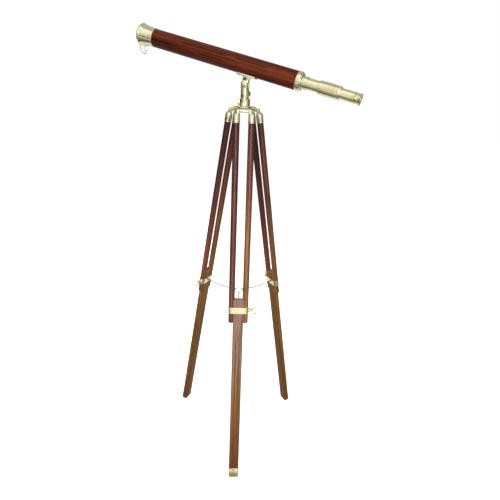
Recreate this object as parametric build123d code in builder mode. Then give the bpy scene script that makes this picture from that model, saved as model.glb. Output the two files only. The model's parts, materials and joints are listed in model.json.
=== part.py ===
"""Floor-standing brass and hardwood telescope on a folding tripod.

Millimetres, +Z up. The origin is on the floor, on the tripod's vertical axis. The front leg points
along -Y and the telescope's bell points up and to the left, along -X and +Y.
"""
from build123d import *
from math import cos, hypot, radians, sin, sqrt
import os

# Stance
LEG_TILT = 10.0
LEG_SIDES = {"front": 0.0, "left": -120.0, "right": 120.0}
HINGE_RADIUS = 39.0
HINGE_HEIGHT = 1280.0

# Telescope heading
SIGHT_YAW = 22.0
SIGHT_TILT = 12.7
PIVOT_HEIGHT = 1355.0
TUBE_RISE = 49.8

# Dowels and board of a leg, distances measured down the leg from its hinge
DOWEL_RADIUS = 10.2
DOWEL_SPACING = 46.5
DOWEL_TOP = 14.0
DOWEL_END = 684.0
BOARD_WIDTH = 35.5
BOARD_THICKNESS = 20.0
BOARD_TOP = 601.0
FLUTE_TOP = 745.0
FLUTE_END = 1168.0
FLUTE_RADIUS = 7.0
FLUTE_DEPTH = 5.0
RUNNING = 0.05
SLIDING = 0.1

# Ferrule and hinge
FERRULE_RADIUS = 11.0
FERRULE_END = 36.4
EYE_RADIUS = 5.6
EYE_INNER = 15.5
EYE_WIDTH = 6.0
BAR_RADIUS = 5.25
JOURNAL_RADIUS = 3.0
SCREW_SHANK = 1.5

# Clamp band
BAND_MIDDLE = 639.0
BAND_HEIGHT = 22.0
BAND_WALL = 1.2
BAND_GAP = 0.05
LUG_HOLE_OUT = 4.4
LUG_HOLE_RADIUS = 1.75
BOSS_RADIUS = 6.0
BOSS_END = 40.0
CLAMP_SHANK = 3.0

# Shoe
SHOE_WIDTH = 33.0
SHOE_TOP = 1265.0
SHOE_PLATE = 1.6
SOLE = 2.5
SHOE_SCREW_DOWN = 1272.5

# Spreader ring and its chains
RING_HEIGHT = 643.5
RING_RADIUS = 15.5
RING_WIRE = 1.4
LINK_WIRE = 0.75
LINK_END_RADIUS = 2.3
LINK_HALF = 3.78
LINKS_PER_HALF = 10
LUG_REACH = 1.45
LUG_DROP = 0.33
RING_REACH = 1.42
RING_LIFT = 0.18
CHAIN_SAG = 5.0

# Hub
FLANGE_RADIUS = 22.4
FLANGE_BOTTOM = 1284.0
FLANGE_TOP = 1290.5
BOSS_CASTING_RADIUS = 19.7
BOSS_CASTING_TOP = 1312.5
ARM_WIDTH = 11.0
SPINDLE_RADIUS = 8.0
SPINDLE_TOP = 1338.0
POST_RADIUS = 12.8
POST_BOTTOM = 1312.8
YOKE_FLOOR = 1343.5
CHEEK_RADIUS = 10.0
CHEEK_INNER = 6.1
CHEEK_OUTER = 11.2
TONGUE_RADIUS = 9.0
TONGUE_HALF = 5.9
BOLT_RADIUS = 3.0
KNOB_RADIUS = 8.0
KNOB_START = 11.4
KNOB_END = 18.6
THUMB_HEIGHT = 1327.0
THUMB_AZIMUTH = -40.0
THUMB_KNOB_RADIUS = 8.0

# Saddle, on the telescope's own plane: x along the tube, y away from the pivot
SADDLE_LENGTH = 60.0
SADDLE_WIDTH = 26.0
SADDLE_BOTTOM = 20.4
SADDLE_EDGE = 26.8
SADDLE_SCREW_ALONG = 22.0
SADDLE_SCREW_OUT = 8.0

# Tube, positions along it from above the pivot, positive towards the eyepiece
WOOD_RADIUS = 26.4
WOOD_START = -327.5
WOOD_END = 154.6
LINER_RADIUS = 22.5
LINER_BORE = 21.5
LINER_START = -345.0
LINER_END = 164.0
BELL_FRONT = -377.2
BELL_BORE = 27.6
RIM_RADIUS = 32.4
COLLAR_RADIUS = 27.0
COLLAR_END = 171.2
GUIDE_RADIUS = 17.6
GUIDE_END = 188.0
COLLAR_SCREW_AT = 160.0
DRAW_RADIUS = 16.0
DRAW_BORE = 15.3
DRAW_START = 70.0
DRAW_END = 230.0
SLEEVE_START = 222.0
SLEEVE_END = 286.5
SLEEVE_RADIUS = 19.0
EYEPIECE_RADIUS = 15.2
EYEPIECE_BORE = 14.2
EYEPIECE_START = 240.0
EYEPIECE_END = 327.0
CUP_END = 346.3
CUP_RADIUS = 16.8
LENS_SEAT = 1.5

# Cap keeper: fine chain between the dust cap and a ring under the bell
CAP_FACE = -380.0
KEEPER_WIRE = 0.45
KEEPER_END_RADIUS = 1.25
KEEPER_HALF = 2.15
KEEPER_LINKS = 16
SPLIT_RING_RADIUS = 6.8
SPLIT_RING_WIRE = 0.7

os.makedirs("parts", exist_ok=True)


def save(part, label):
    """Label a finished sub-part and write its file."""
    part.label = label
    export_step(part, f"parts/{label}.step")


def leg_plane(azimuth):
    """Plane at a leg's hinge: x along the hinge, y out of the leg's outer face, z down the leg."""
    turn = radians(azimuth)
    tilt = radians(LEG_TILT)
    outward = Vector(sin(turn), -cos(turn), 0)
    down = outward * sin(tilt) + Vector(0, 0, -cos(tilt))
    hinge = outward * HINGE_RADIUS + Vector(0, 0, HINGE_HEIGHT)
    return Plane(origin=hinge, x_dir=Vector(cos(turn), sin(turn), 0), z_dir=down)


def upright_plane(azimuth):
    """Vertical plane through the tripod's axis: x outwards along a leg, y up."""
    turn = radians(azimuth)
    outward = Vector(sin(turn), -cos(turn), 0)
    return Plane(origin=(0, 0, 0), x_dir=outward, z_dir=outward.cross(Vector(0, 0, 1)))


def side_plane(plane, x, y, z):
    """Plane square to a frame's x direction, through a point given in that frame, with x down z."""
    return Plane(origin=plane.from_local_coords((x, y, z)), x_dir=plane.z_dir, z_dir=plane.x_dir)


def face_plane(plane, x, y, z):
    """Plane square to a frame's y direction, through a point given in that frame."""
    return Plane(origin=plane.from_local_coords((x, y, z)), x_dir=plane.x_dir, z_dir=plane.y_dir)


def chain_link(wire, end_radius, half_length):
    """One closed oval link along X, lying flat in the XY plane."""
    straight = half_length - end_radius
    with BuildPart() as link:
        with BuildLine():
            Line((-straight, end_radius), (straight, end_radius))
            ThreePointArc((straight, end_radius), (half_length, 0), (straight, -end_radius))
            Line((straight, -end_radius), (-straight, -end_radius))
            ThreePointArc((-straight, -end_radius), (-half_length, 0), (-straight, end_radius))
        with BuildSketch(Plane(origin=(0, end_radius, 0), x_dir=(0, 1, 0), z_dir=(1, 0, 0))):
            Circle(wire)
        sweep()
    return link.part


def link_places(points, flat_normal, first_turn):
    """Places for links whose ends meet at the given points, each turned a quarter from the last."""
    places = []
    for index in range(len(points) - 1):
        start, end = points[index], points[index + 1]
        along = (end - start).normalized()
        across = flat_normal.cross(along).normalized()
        quarter = (index + first_turn) % 2
        normal = across if quarter else along.cross(across).normalized()
        places.append(Plane(origin=(start + end) * 0.5, x_dir=along, z_dir=normal).location)
    return places


# ---------------------------------------------------------------- frames of the telescope
heading = Vector(cos(radians(SIGHT_YAW)), -sin(radians(SIGHT_YAW)), 0)
near_side = Vector(-sin(radians(SIGHT_YAW)), -cos(radians(SIGHT_YAW)), 0)
sight = heading * cos(radians(SIGHT_TILT)) + Vector(0, 0, -sin(radians(SIGHT_TILT)))
PIVOT = Plane(origin=(0, 0, PIVOT_HEIGHT), x_dir=heading, z_dir=near_side)
SADDLE = Plane(origin=(0, 0, PIVOT_HEIGHT), x_dir=sight, z_dir=near_side)
SIGHT = Plane(origin=SADDLE.from_local_coords((0, TUBE_RISE, 0)), x_dir=sight, z_dir=near_side)
SIGHT_AXIS = Axis(SIGHT.origin, SIGHT.x_dir)


def across_tube(distance):
    """Plane square to the tube at a distance along it, facing the eyepiece."""
    return Plane(origin=SIGHT.from_local_coords((distance, 0, 0)), x_dir=SIGHT.z_dir, z_dir=SIGHT.x_dir)


# ---------------------------------------------------------------- hub casting
with BuildPart() as spider:
    with BuildSketch(Plane.XY.offset(FLANGE_BOTTOM)):
        Circle(FLANGE_RADIUS)
    extrude(amount=FLANGE_TOP - FLANGE_BOTTOM)
    chamfer(spider.edges().group_by(Axis.Z)[-1], 1.0)
    with BuildSketch(Plane.XY.offset(FLANGE_TOP)):
        Circle(BOSS_CASTING_RADIUS)
    extrude(amount=BOSS_CASTING_TOP - FLANGE_TOP)
    fillet(spider.edges().group_by(Axis.Z)[-1], 2.0)
    for azimuth in LEG_SIDES.values():
        with BuildSketch(upright_plane(azimuth)):
            with BuildLine():
                Line((15, FLANGE_TOP), (33.5, FLANGE_TOP))
                ThreePointArc((33.5, FLANGE_TOP), (41.3, 1287.3), (44.5, 1279.5))
                ThreePointArc((44.5, 1279.5), (39.0, 1274.2), (34.0, 1278.0))
                Line((34.0, 1278.0), (28.0, FLANGE_BOTTOM))
                Line((28.0, FLANGE_BOTTOM), (15, FLANGE_BOTTOM))
                Line((15, FLANGE_BOTTOM), (15, FLANGE_TOP))
            make_face()
        extrude(amount=ARM_WIDTH / 2, both=True)
        bar = side_plane(leg_plane(azimuth), 0, 0, 0)
        with BuildSketch(bar):
            Circle(BAR_RADIUS)
        extrude(amount=EYE_INNER - SLIDING, both=True)
        with BuildSketch(bar):
            Circle(JOURNAL_RADIUS)
        extrude(amount=EYE_INNER + EYE_WIDTH, both=True)
        with BuildSketch(bar):
            Circle(SCREW_SHANK)
        extrude(amount=EYE_INNER + EYE_WIDTH, both=True, mode=Mode.SUBTRACT)
    with BuildSketch(Plane.XY.offset(FLANGE_TOP)):
        Circle(SPINDLE_RADIUS)
    extrude(amount=BOSS_CASTING_TOP - FLANGE_TOP, mode=Mode.SUBTRACT)
save(spider.part, "hub_spider")

with BuildPart() as spindle:
    with BuildSketch(Plane.XY.offset(FLANGE_TOP)):
        Circle(SPINDLE_RADIUS)
    extrude(amount=SPINDLE_TOP - FLANGE_TOP)
    chamfer(spindle.edges().group_by(Axis.Z)[-1], 1.0)
save(spindle.part, "azimuth_spindle")

with BuildPart() as hinge_screws:
    for azimuth in LEG_SIDES.values():
        for side in (-1, 1):
            seat = side_plane(leg_plane(azimuth), side * (EYE_INNER + EYE_WIDTH + SLIDING), 0, 0)
            with BuildSketch(seat):
                Circle(BAR_RADIUS)
            extrude(amount=side * 1.8)
            with BuildSketch(seat):
                Circle(SCREW_SHANK)
            extrude(amount=-side * 10.0)
save(hinge_screws.part, "hinge_screws")

# ---------------------------------------------------------------- azimuth head
with BuildPart() as yoke:
    with BuildSketch(Plane.XY.offset(POST_BOTTOM)):
        Circle(POST_RADIUS)
    extrude(amount=YOKE_FLOOR - POST_BOTTOM)
    chamfer(yoke.edges().group_by(Axis.Z)[-1], 0.8)
    chamfer(yoke.edges().group_by(Axis.Z)[0], 0.6)
    for start in (CHEEK_INNER, -CHEEK_OUTER):
        with BuildSketch(PIVOT.offset(start)):
            Circle(CHEEK_RADIUS)
            with Locations((0, (YOKE_FLOOR - PIVOT_HEIGHT) / 2)):
                Rectangle(2 * CHEEK_RADIUS, PIVOT_HEIGHT - YOKE_FLOOR)
            Circle(BOLT_RADIUS, mode=Mode.SUBTRACT)
        extrude(amount=CHEEK_OUTER - CHEEK_INNER)
    with BuildSketch(Plane.XY.offset(POST_BOTTOM)):
        Circle(SPINDLE_RADIUS + RUNNING)
    extrude(amount=SPINDLE_TOP + 0.5 - POST_BOTTOM, mode=Mode.SUBTRACT)
    thumb = radians(THUMB_AZIMUTH)
    thumb_way = Vector(cos(thumb), sin(thumb), 0)
    THUMB = Plane(origin=(0, 0, THUMB_HEIGHT), z_dir=thumb_way)
    with BuildSketch(THUMB.offset(SPINDLE_RADIUS)):
        Circle(2.5 + RUNNING)
    extrude(amount=POST_RADIUS, mode=Mode.SUBTRACT)
save(yoke.part, "yoke")

with BuildPart() as azimuth_screw:
    with BuildSketch(THUMB.offset(SPINDLE_RADIUS + 0.1)):
        Circle(2.5)
    extrude(amount=6.0)
    with BuildSketch(THUMB.offset(POST_RADIUS + 0.6)):
        Circle(THUMB_KNOB_RADIUS)
    extrude(amount=4.6)
    fillet(azimuth_screw.faces().sort_by(Axis(THUMB.origin, thumb_way))[-1].edges(), 1.6)
save(azimuth_screw.part, "azimuth_screw")

with BuildPart() as pivot_bolt:
    with BuildSketch(PIVOT.offset(-CHEEK_OUTER - 4.0)):
        RegularPolygon(radius=6.4, side_count=6)
    extrude(amount=4.0)
    with BuildSketch(PIVOT.offset(-CHEEK_OUTER)):
        Circle(BOLT_RADIUS)
    extrude(amount=CHEEK_OUTER + 16.5)
save(pivot_bolt.part, "pivot_bolt")

with BuildPart() as pivot_knob:
    with BuildSketch(PIVOT.offset(KNOB_START)):
        Circle(KNOB_RADIUS)
    extrude(amount=KNOB_END - KNOB_START)
    fillet(pivot_knob.faces().sort_by(Axis(PIVOT.origin, near_side))[-1].edges(), 2.4)
    with BuildSketch(PIVOT.offset(KNOB_START)):
        Circle(BOLT_RADIUS + RUNNING)
    extrude(amount=5.4, mode=Mode.SUBTRACT)
save(pivot_knob.part, "pivot_knob")

# ---------------------------------------------------------------- saddle
screw_spots = [
    (along, out)
    for along in (-SADDLE_SCREW_ALONG, SADDLE_SCREW_ALONG)
    for out in (-SADDLE_SCREW_OUT, SADDLE_SCREW_OUT)
]


def saddle_screw_plane(along, out):
    """Plane on the saddle's underside at one screw, facing the tube."""
    return Plane(origin=SADDLE.from_local_coords((along, SADDLE_BOTTOM, out)), x_dir=sight, z_dir=SADDLE.y_dir)


with BuildPart() as saddle:
    with BuildSketch(SADDLE):
        Circle(TONGUE_RADIUS)
        with BuildLine():
            Polyline(
                (-TONGUE_RADIUS, 0), (TONGUE_RADIUS, 0), (10.8, SADDLE_BOTTOM), (-10.8, SADDLE_BOTTOM), close=True
            )
        make_face()
        Circle(BOLT_RADIUS + RUNNING, mode=Mode.SUBTRACT)
    extrude(amount=TONGUE_HALF, both=True)
    saddle_end = SADDLE.from_local_coords((-SADDLE_LENGTH / 2, 0, 0))
    with BuildSketch(Plane(origin=saddle_end, x_dir=near_side * -1, z_dir=sight)):
        with Locations((0, (SADDLE_BOTTOM + SADDLE_EDGE) / 2)):
            Rectangle(SADDLE_WIDTH, SADDLE_EDGE - SADDLE_BOTTOM)
        with Locations((0, TUBE_RISE)):
            Circle(WOOD_RADIUS + 0.02, mode=Mode.SUBTRACT)
    extrude(amount=SADDLE_LENGTH)
    for along, out in screw_spots:
        with BuildSketch(saddle_screw_plane(along, out)):
            Circle(1.6)
        extrude(amount=8.0, mode=Mode.SUBTRACT)
        with BuildSketch(saddle_screw_plane(along, out)):
            Circle(3.2)
        extrude(amount=1.4, mode=Mode.SUBTRACT)
save(saddle.part, "saddle")

with BuildPart() as saddle_screws:
    for along, out in screw_spots:
        with BuildSketch(saddle_screw_plane(along, out)):
            Circle(3.2)
        extrude(amount=1.4)
        with BuildSketch(saddle_screw_plane(along, out)):
            Circle(1.6)
        extrude(amount=7.6)
save(saddle_screws.part, "saddle_screws")

# ---------------------------------------------------------------- barrel
with BuildPart() as barrel_wood:
    with BuildSketch(across_tube(WOOD_START)):
        Circle(WOOD_RADIUS)
        Circle(LINER_RADIUS, mode=Mode.SUBTRACT)
    extrude(amount=WOOD_END - WOOD_START)
    for along, out in screw_spots:
        with BuildSketch(saddle_screw_plane(along, out)):
            Circle(1.6)
        extrude(amount=8.0, mode=Mode.SUBTRACT)
save(barrel_wood.part, "barrel_wood")

collar_screw_planes = []
for turn in (0, 120, 240):
    way = SIGHT.z_dir * cos(radians(turn)) + SIGHT.y_dir * sin(radians(turn))
    base = SIGHT.from_local_coords((COLLAR_SCREW_AT, 0, 0))
    collar_screw_planes.append(Plane(origin=base, x_dir=sight, z_dir=way))

with BuildPart() as barrel_liner:
    with BuildSketch(across_tube(LINER_START)):
        Circle(LINER_RADIUS)
        Circle(LINER_BORE, mode=Mode.SUBTRACT)
    extrude(amount=LINER_END - LINER_START)
    for plane in collar_screw_planes:
        with BuildSketch(plane.offset(LINER_BORE - 2)):
            Circle(1.2)
        extrude(amount=4.0, mode=Mode.SUBTRACT)
save(barrel_liner.part, "barrel_liner")

with BuildPart() as bell:
    with BuildSketch(SIGHT):
        with BuildLine():
            Line((WOOD_START, LINER_RADIUS), (WOOD_START, 27.0))
            Line((WOOD_START, 27.0), (-331.5, 27.0))
            Spline((-331.5, 27.0), (-346.0, 27.6), (-361.0, 28.9), (-372.8, 30.9))
            ThreePointArc((-372.8, 30.9), (-375.0, RIM_RADIUS), (BELL_FRONT, 30.9))
            Line((BELL_FRONT, 30.9), (BELL_FRONT, BELL_BORE))
            Line((BELL_FRONT, BELL_BORE), (-366.0, BELL_BORE))
            Line((-366.0, BELL_BORE), (-364.0, 26.2))
            Line((-364.0, 26.2), (-349.0, 23.6))
            Line((-349.0, 23.6), (-347.0, 20.8))
            Line((-347.0, 20.8), (LINER_START, 20.8))
            Line((LINER_START, 20.8), (LINER_START, LINER_RADIUS))
            Line((LINER_START, LINER_RADIUS), (WOOD_START, LINER_RADIUS))
        make_face()
    revolve(axis=SIGHT_AXIS)
save(bell.part, "objective_bell")


def lens(centre, radius, edge, bulge):
    """Double-curved lens on the tube's axis, flat where its seat holds it."""
    clear = radius - LENS_SEAT
    curve = (clear**2 + bulge**2) / (2 * bulge)
    middle = bulge - curve + sqrt(curve**2 - clear**2 / 4)
    back = centre + edge / 2
    front = centre - edge / 2
    with BuildPart() as glass:
        with BuildSketch(SIGHT):
            with BuildLine():
                Line((front - bulge, 0), (back + bulge, 0))
                ThreePointArc((back + bulge, 0), (back + middle, clear / 2), (back, clear))
                Line((back, clear), (back, radius))
                Line((back, radius), (front, radius))
                Line((front, radius), (front, clear))
                ThreePointArc((front, clear), (front - middle, clear / 2), (front - bulge, 0))
            make_face()
        revolve(axis=SIGHT_AXIS)
    return glass.part


with BuildPart() as objective_cell:
    with BuildSketch(SIGHT):
        with BuildLine():
            Polyline(
                (-344.8, 19.0), (-344.8, LINER_BORE), (-333.0, LINER_BORE), (-333.0, 20.4), (-342.4, 20.4),
                (-342.4, 19.0), close=True
            )
        make_face()
    revolve(axis=SIGHT_AXIS)
save(objective_cell.part, "objective_cell")
save(lens(-340.4, 20.4, 4.0, 1.8), "objective_lens")

with BuildPart() as lens_ring:
    with BuildSketch(across_tube(-338.4)):
        Circle(20.4)
        Circle(19.0, mode=Mode.SUBTRACT)
    extrude(amount=3.4)
save(lens_ring.part, "lens_ring")

with BuildPart() as end_collar:
    with BuildSketch(SIGHT):
        with BuildLine():
            Line((WOOD_END, LINER_RADIUS), (WOOD_END, COLLAR_RADIUS))
            Line((WOOD_END, COLLAR_RADIUS), (166.0, COLLAR_RADIUS))
            ThreePointArc((166.0, COLLAR_RADIUS), (169.7, 25.5), (COLLAR_END, 21.8))
            Line((COLLAR_END, 21.8), (COLLAR_END, GUIDE_RADIUS))
            Line((COLLAR_END, GUIDE_RADIUS), (GUIDE_END - 1, GUIDE_RADIUS))
            Line((GUIDE_END - 1, GUIDE_RADIUS), (GUIDE_END, GUIDE_RADIUS - 1))
            Line((GUIDE_END, GUIDE_RADIUS - 1), (GUIDE_END, DRAW_RADIUS + RUNNING))
            Line((GUIDE_END, DRAW_RADIUS + RUNNING), (LINER_END, DRAW_RADIUS + RUNNING))
            Line((LINER_END, DRAW_RADIUS + RUNNING), (LINER_END, LINER_RADIUS))
            Line((LINER_END, LINER_RADIUS), (WOOD_END, LINER_RADIUS))
        make_face()
    revolve(axis=SIGHT_AXIS)
    for plane in collar_screw_planes:
        with BuildSketch(plane.offset(LINER_RADIUS - 1)):
            Circle(1.2)
        extrude(amount=8.0, mode=Mode.SUBTRACT)
save(end_collar.part, "end_collar")

with BuildPart() as collar_screws:
    for plane in collar_screw_planes:
        with BuildSketch(plane.offset(LINER_BORE + 0.1)):
            Circle(1.2)
        extrude(amount=COLLAR_RADIUS - LINER_BORE)
        with BuildSketch(plane.offset(COLLAR_RADIUS)):
            Circle(2.3)
        extrude(amount=0.9)
save(collar_screws.part, "collar_screws")

# ---------------------------------------------------------------- draw tube and eyepiece
with BuildPart() as draw_tube:
    with BuildSketch(across_tube(DRAW_START)):
        Circle(DRAW_RADIUS)
        Circle(DRAW_BORE, mode=Mode.SUBTRACT)
    extrude(amount=DRAW_END - DRAW_START)
save(draw_tube.part, "draw_tube")

with BuildPart() as draw_stop:
    with BuildSketch(across_tube(DRAW_START)):
        Circle(LINER_BORE - SLIDING)
        Circle(DRAW_RADIUS, mode=Mode.SUBTRACT)
    extrude(amount=6.0)
save(draw_stop.part, "draw_tube_stop")
save(lens(76.0, DRAW_BORE, 3.0, 1.6), "erector_lens")

with BuildPart() as focus_sleeve:
    with BuildSketch(SIGHT):
        with BuildLine():
            Polyline(
                (SLEEVE_START, DRAW_RADIUS), (SLEEVE_START, 18.0), (SLEEVE_START + 1, SLEEVE_RADIUS),
                (233.5, SLEEVE_RADIUS), (233.5, 18.4), (235.0, 18.4), (235.0, SLEEVE_RADIUS + 0.3),
                (265.0, SLEEVE_RADIUS + 0.3), (265.0, 18.4), (267.0, 18.4), (267.0, SLEEVE_RADIUS + 0.3),
                (277.0, SLEEVE_RADIUS + 0.3), (277.0, SLEEVE_RADIUS - 0.3), (285.0, SLEEVE_RADIUS - 0.3),
                (SLEEVE_END, 17.4), (SLEEVE_END, EYEPIECE_RADIUS + RUNNING),
                (DRAW_END, EYEPIECE_RADIUS + RUNNING), (DRAW_END, DRAW_RADIUS), close=True
            )
        make_face()
    revolve(axis=SIGHT_AXIS)
save(focus_sleeve.part, "focus_sleeve")

with BuildPart() as eyepiece_tube:
    with BuildSketch(across_tube(EYEPIECE_START)):
        Circle(EYEPIECE_RADIUS)
        Circle(EYEPIECE_BORE, mode=Mode.SUBTRACT)
    extrude(amount=EYEPIECE_END - EYEPIECE_START)
save(eyepiece_tube.part, "eyepiece_tube")

with BuildPart() as eye_cup:
    with BuildSketch(SIGHT):
        with BuildLine():
            Line((318.0, 12.6), (318.0, EYEPIECE_BORE))
            Line((318.0, EYEPIECE_BORE), (EYEPIECE_END, EYEPIECE_BORE))
            Line((EYEPIECE_END, EYEPIECE_BORE), (EYEPIECE_END, 15.4))
            ThreePointArc((EYEPIECE_END, 15.4), (328.9, 16.4), (330.8, 15.4))
            Line((330.8, 15.4), (332.4, 14.3))
            Line((332.4, 14.3), (335.0, 14.3))
            Spline((335.0, 14.3), (340.0, 14.9), (343.4, 16.5))
            ThreePointArc((343.4, 16.5), (345.0, CUP_RADIUS + 0.2), (CUP_END, 16.2))
            Line((CUP_END, 16.2), (CUP_END, 15.4))
            Line((CUP_END, 15.4), (338.0, 6.0))
            Line((338.0, 6.0), (334.0, 6.0))
            Line((334.0, 6.0), (334.0, 12.6))
            Line((334.0, 12.6), (318.0, 12.6))
        make_face()
    revolve(axis=SIGHT_AXIS)
save(eye_cup.part, "eye_cup")
save(lens(329.0, 12.6, 3.0, 1.4), "eye_lens")
save(lens(247.0, EYEPIECE_BORE, 2.6, 1.4), "field_lens")

# ---------------------------------------------------------------- dust cap and its keeper
CAP_EYE = SIGHT.from_local_coords((CAP_FACE - 2.6, -25.5, 0))
with BuildPart() as dust_cap:
    with BuildSketch(SIGHT):
        with BuildLine():
            Line((CAP_FACE, 0), (CAP_FACE, 29.0))
            ThreePointArc((CAP_FACE, 29.0), (-379.6, 30.2), (-378.6, 30.6))
            Line((-378.6, 30.6), (BELL_FRONT - 0.15, 30.6))
            Line((BELL_FRONT - 0.15, 30.6), (BELL_FRONT - 0.15, BELL_BORE - SLIDING))
            Line((BELL_FRONT - 0.15, BELL_BORE - SLIDING), (-367.5, BELL_BORE - SLIDING))
            Line((-367.5, BELL_BORE - SLIDING), (-367.5, 25.9))
            Line((-367.5, 25.9), (-378.2, 25.9))
            Line((-378.2, 25.9), (-378.2, 0))
            Line((-378.2, 0), (CAP_FACE, 0))
        make_face()
    revolve(axis=SIGHT_AXIS)
    with Locations(Plane(origin=CAP_EYE, x_dir=SIGHT.x_dir, z_dir=SIGHT.y_dir).location):
        Torus(2.4, 0.7)
save(dust_cap.part, "dust_cap")

STEM_TOP = SIGHT.from_local_coords((-361.0, -28.75, 0))
stem_way = SIGHT.y_dir * -1
eyelet_centre = STEM_TOP + stem_way * 2.4
split_centre = eyelet_centre + Vector(0, 0, 1.5 - SPLIT_RING_RADIUS - SPLIT_RING_WIRE)
with BuildPart() as bell_eyelet:
    with BuildSketch(Plane(origin=STEM_TOP, x_dir=sight, z_dir=stem_way).offset(-0.4)):
        Circle(2.0)
    extrude(amount=0.9)
    with Locations(Plane(origin=eyelet_centre, x_dir=near_side, z_dir=heading).location):
        Torus(2.3, 0.6)
    add(bell.part, mode=Mode.SUBTRACT)
save(bell_eyelet.part, "bell_eyelet")

with BuildPart() as split_ring:
    with Locations(Plane(origin=split_centre, x_dir=heading, z_dir=near_side).location):
        Torus(SPLIT_RING_RADIUS, SPLIT_RING_WIRE)
save(split_ring.part, "split_ring")

keeper_start = CAP_EYE + sight * -2.4 + Vector(0, 0, 0.75)
keeper_end = split_centre + Vector(0, 0, 0.75 - SPLIT_RING_RADIUS)
keeper_path = Spline(
    keeper_start,
    keeper_start + Vector(0, 0, -14.5) + heading * 1.2,
    keeper_start + Vector(0, 0, -26.5) + heading * 6.0,
    keeper_start + Vector(0, 0, -31.4) + heading * 12.5,
    keeper_end + Vector(0, 0, -9.5) + heading * -3.0,
    keeper_end,
)
keeper_link = chain_link(KEEPER_WIRE, KEEPER_END_RADIUS, KEEPER_HALF)
with BuildPart() as cap_chain:
    stops = [keeper_path.position_at(index / KEEPER_LINKS) for index in range(KEEPER_LINKS + 1)]
    with Locations(*link_places(stops, near_side, 0)):
        add(keeper_link)
save(cap_chain.part, "cap_chain")

# ---------------------------------------------------------------- spreader ring
with BuildPart() as spreader_ring:
    with Locations((0, 0, RING_HEIGHT)):
        Torus(RING_RADIUS, RING_WIRE)
save(spreader_ring.part, "spreader_ring")

# ---------------------------------------------------------------- legs
half_spacing = DOWEL_SPACING / 2
band_inner = DOWEL_RADIUS + BAND_GAP
band_outer = band_inner + BAND_WALL
band_side = half_spacing + band_outer
spreader_link = chain_link(LINK_WIRE, LINK_END_RADIUS, LINK_HALF)

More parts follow.
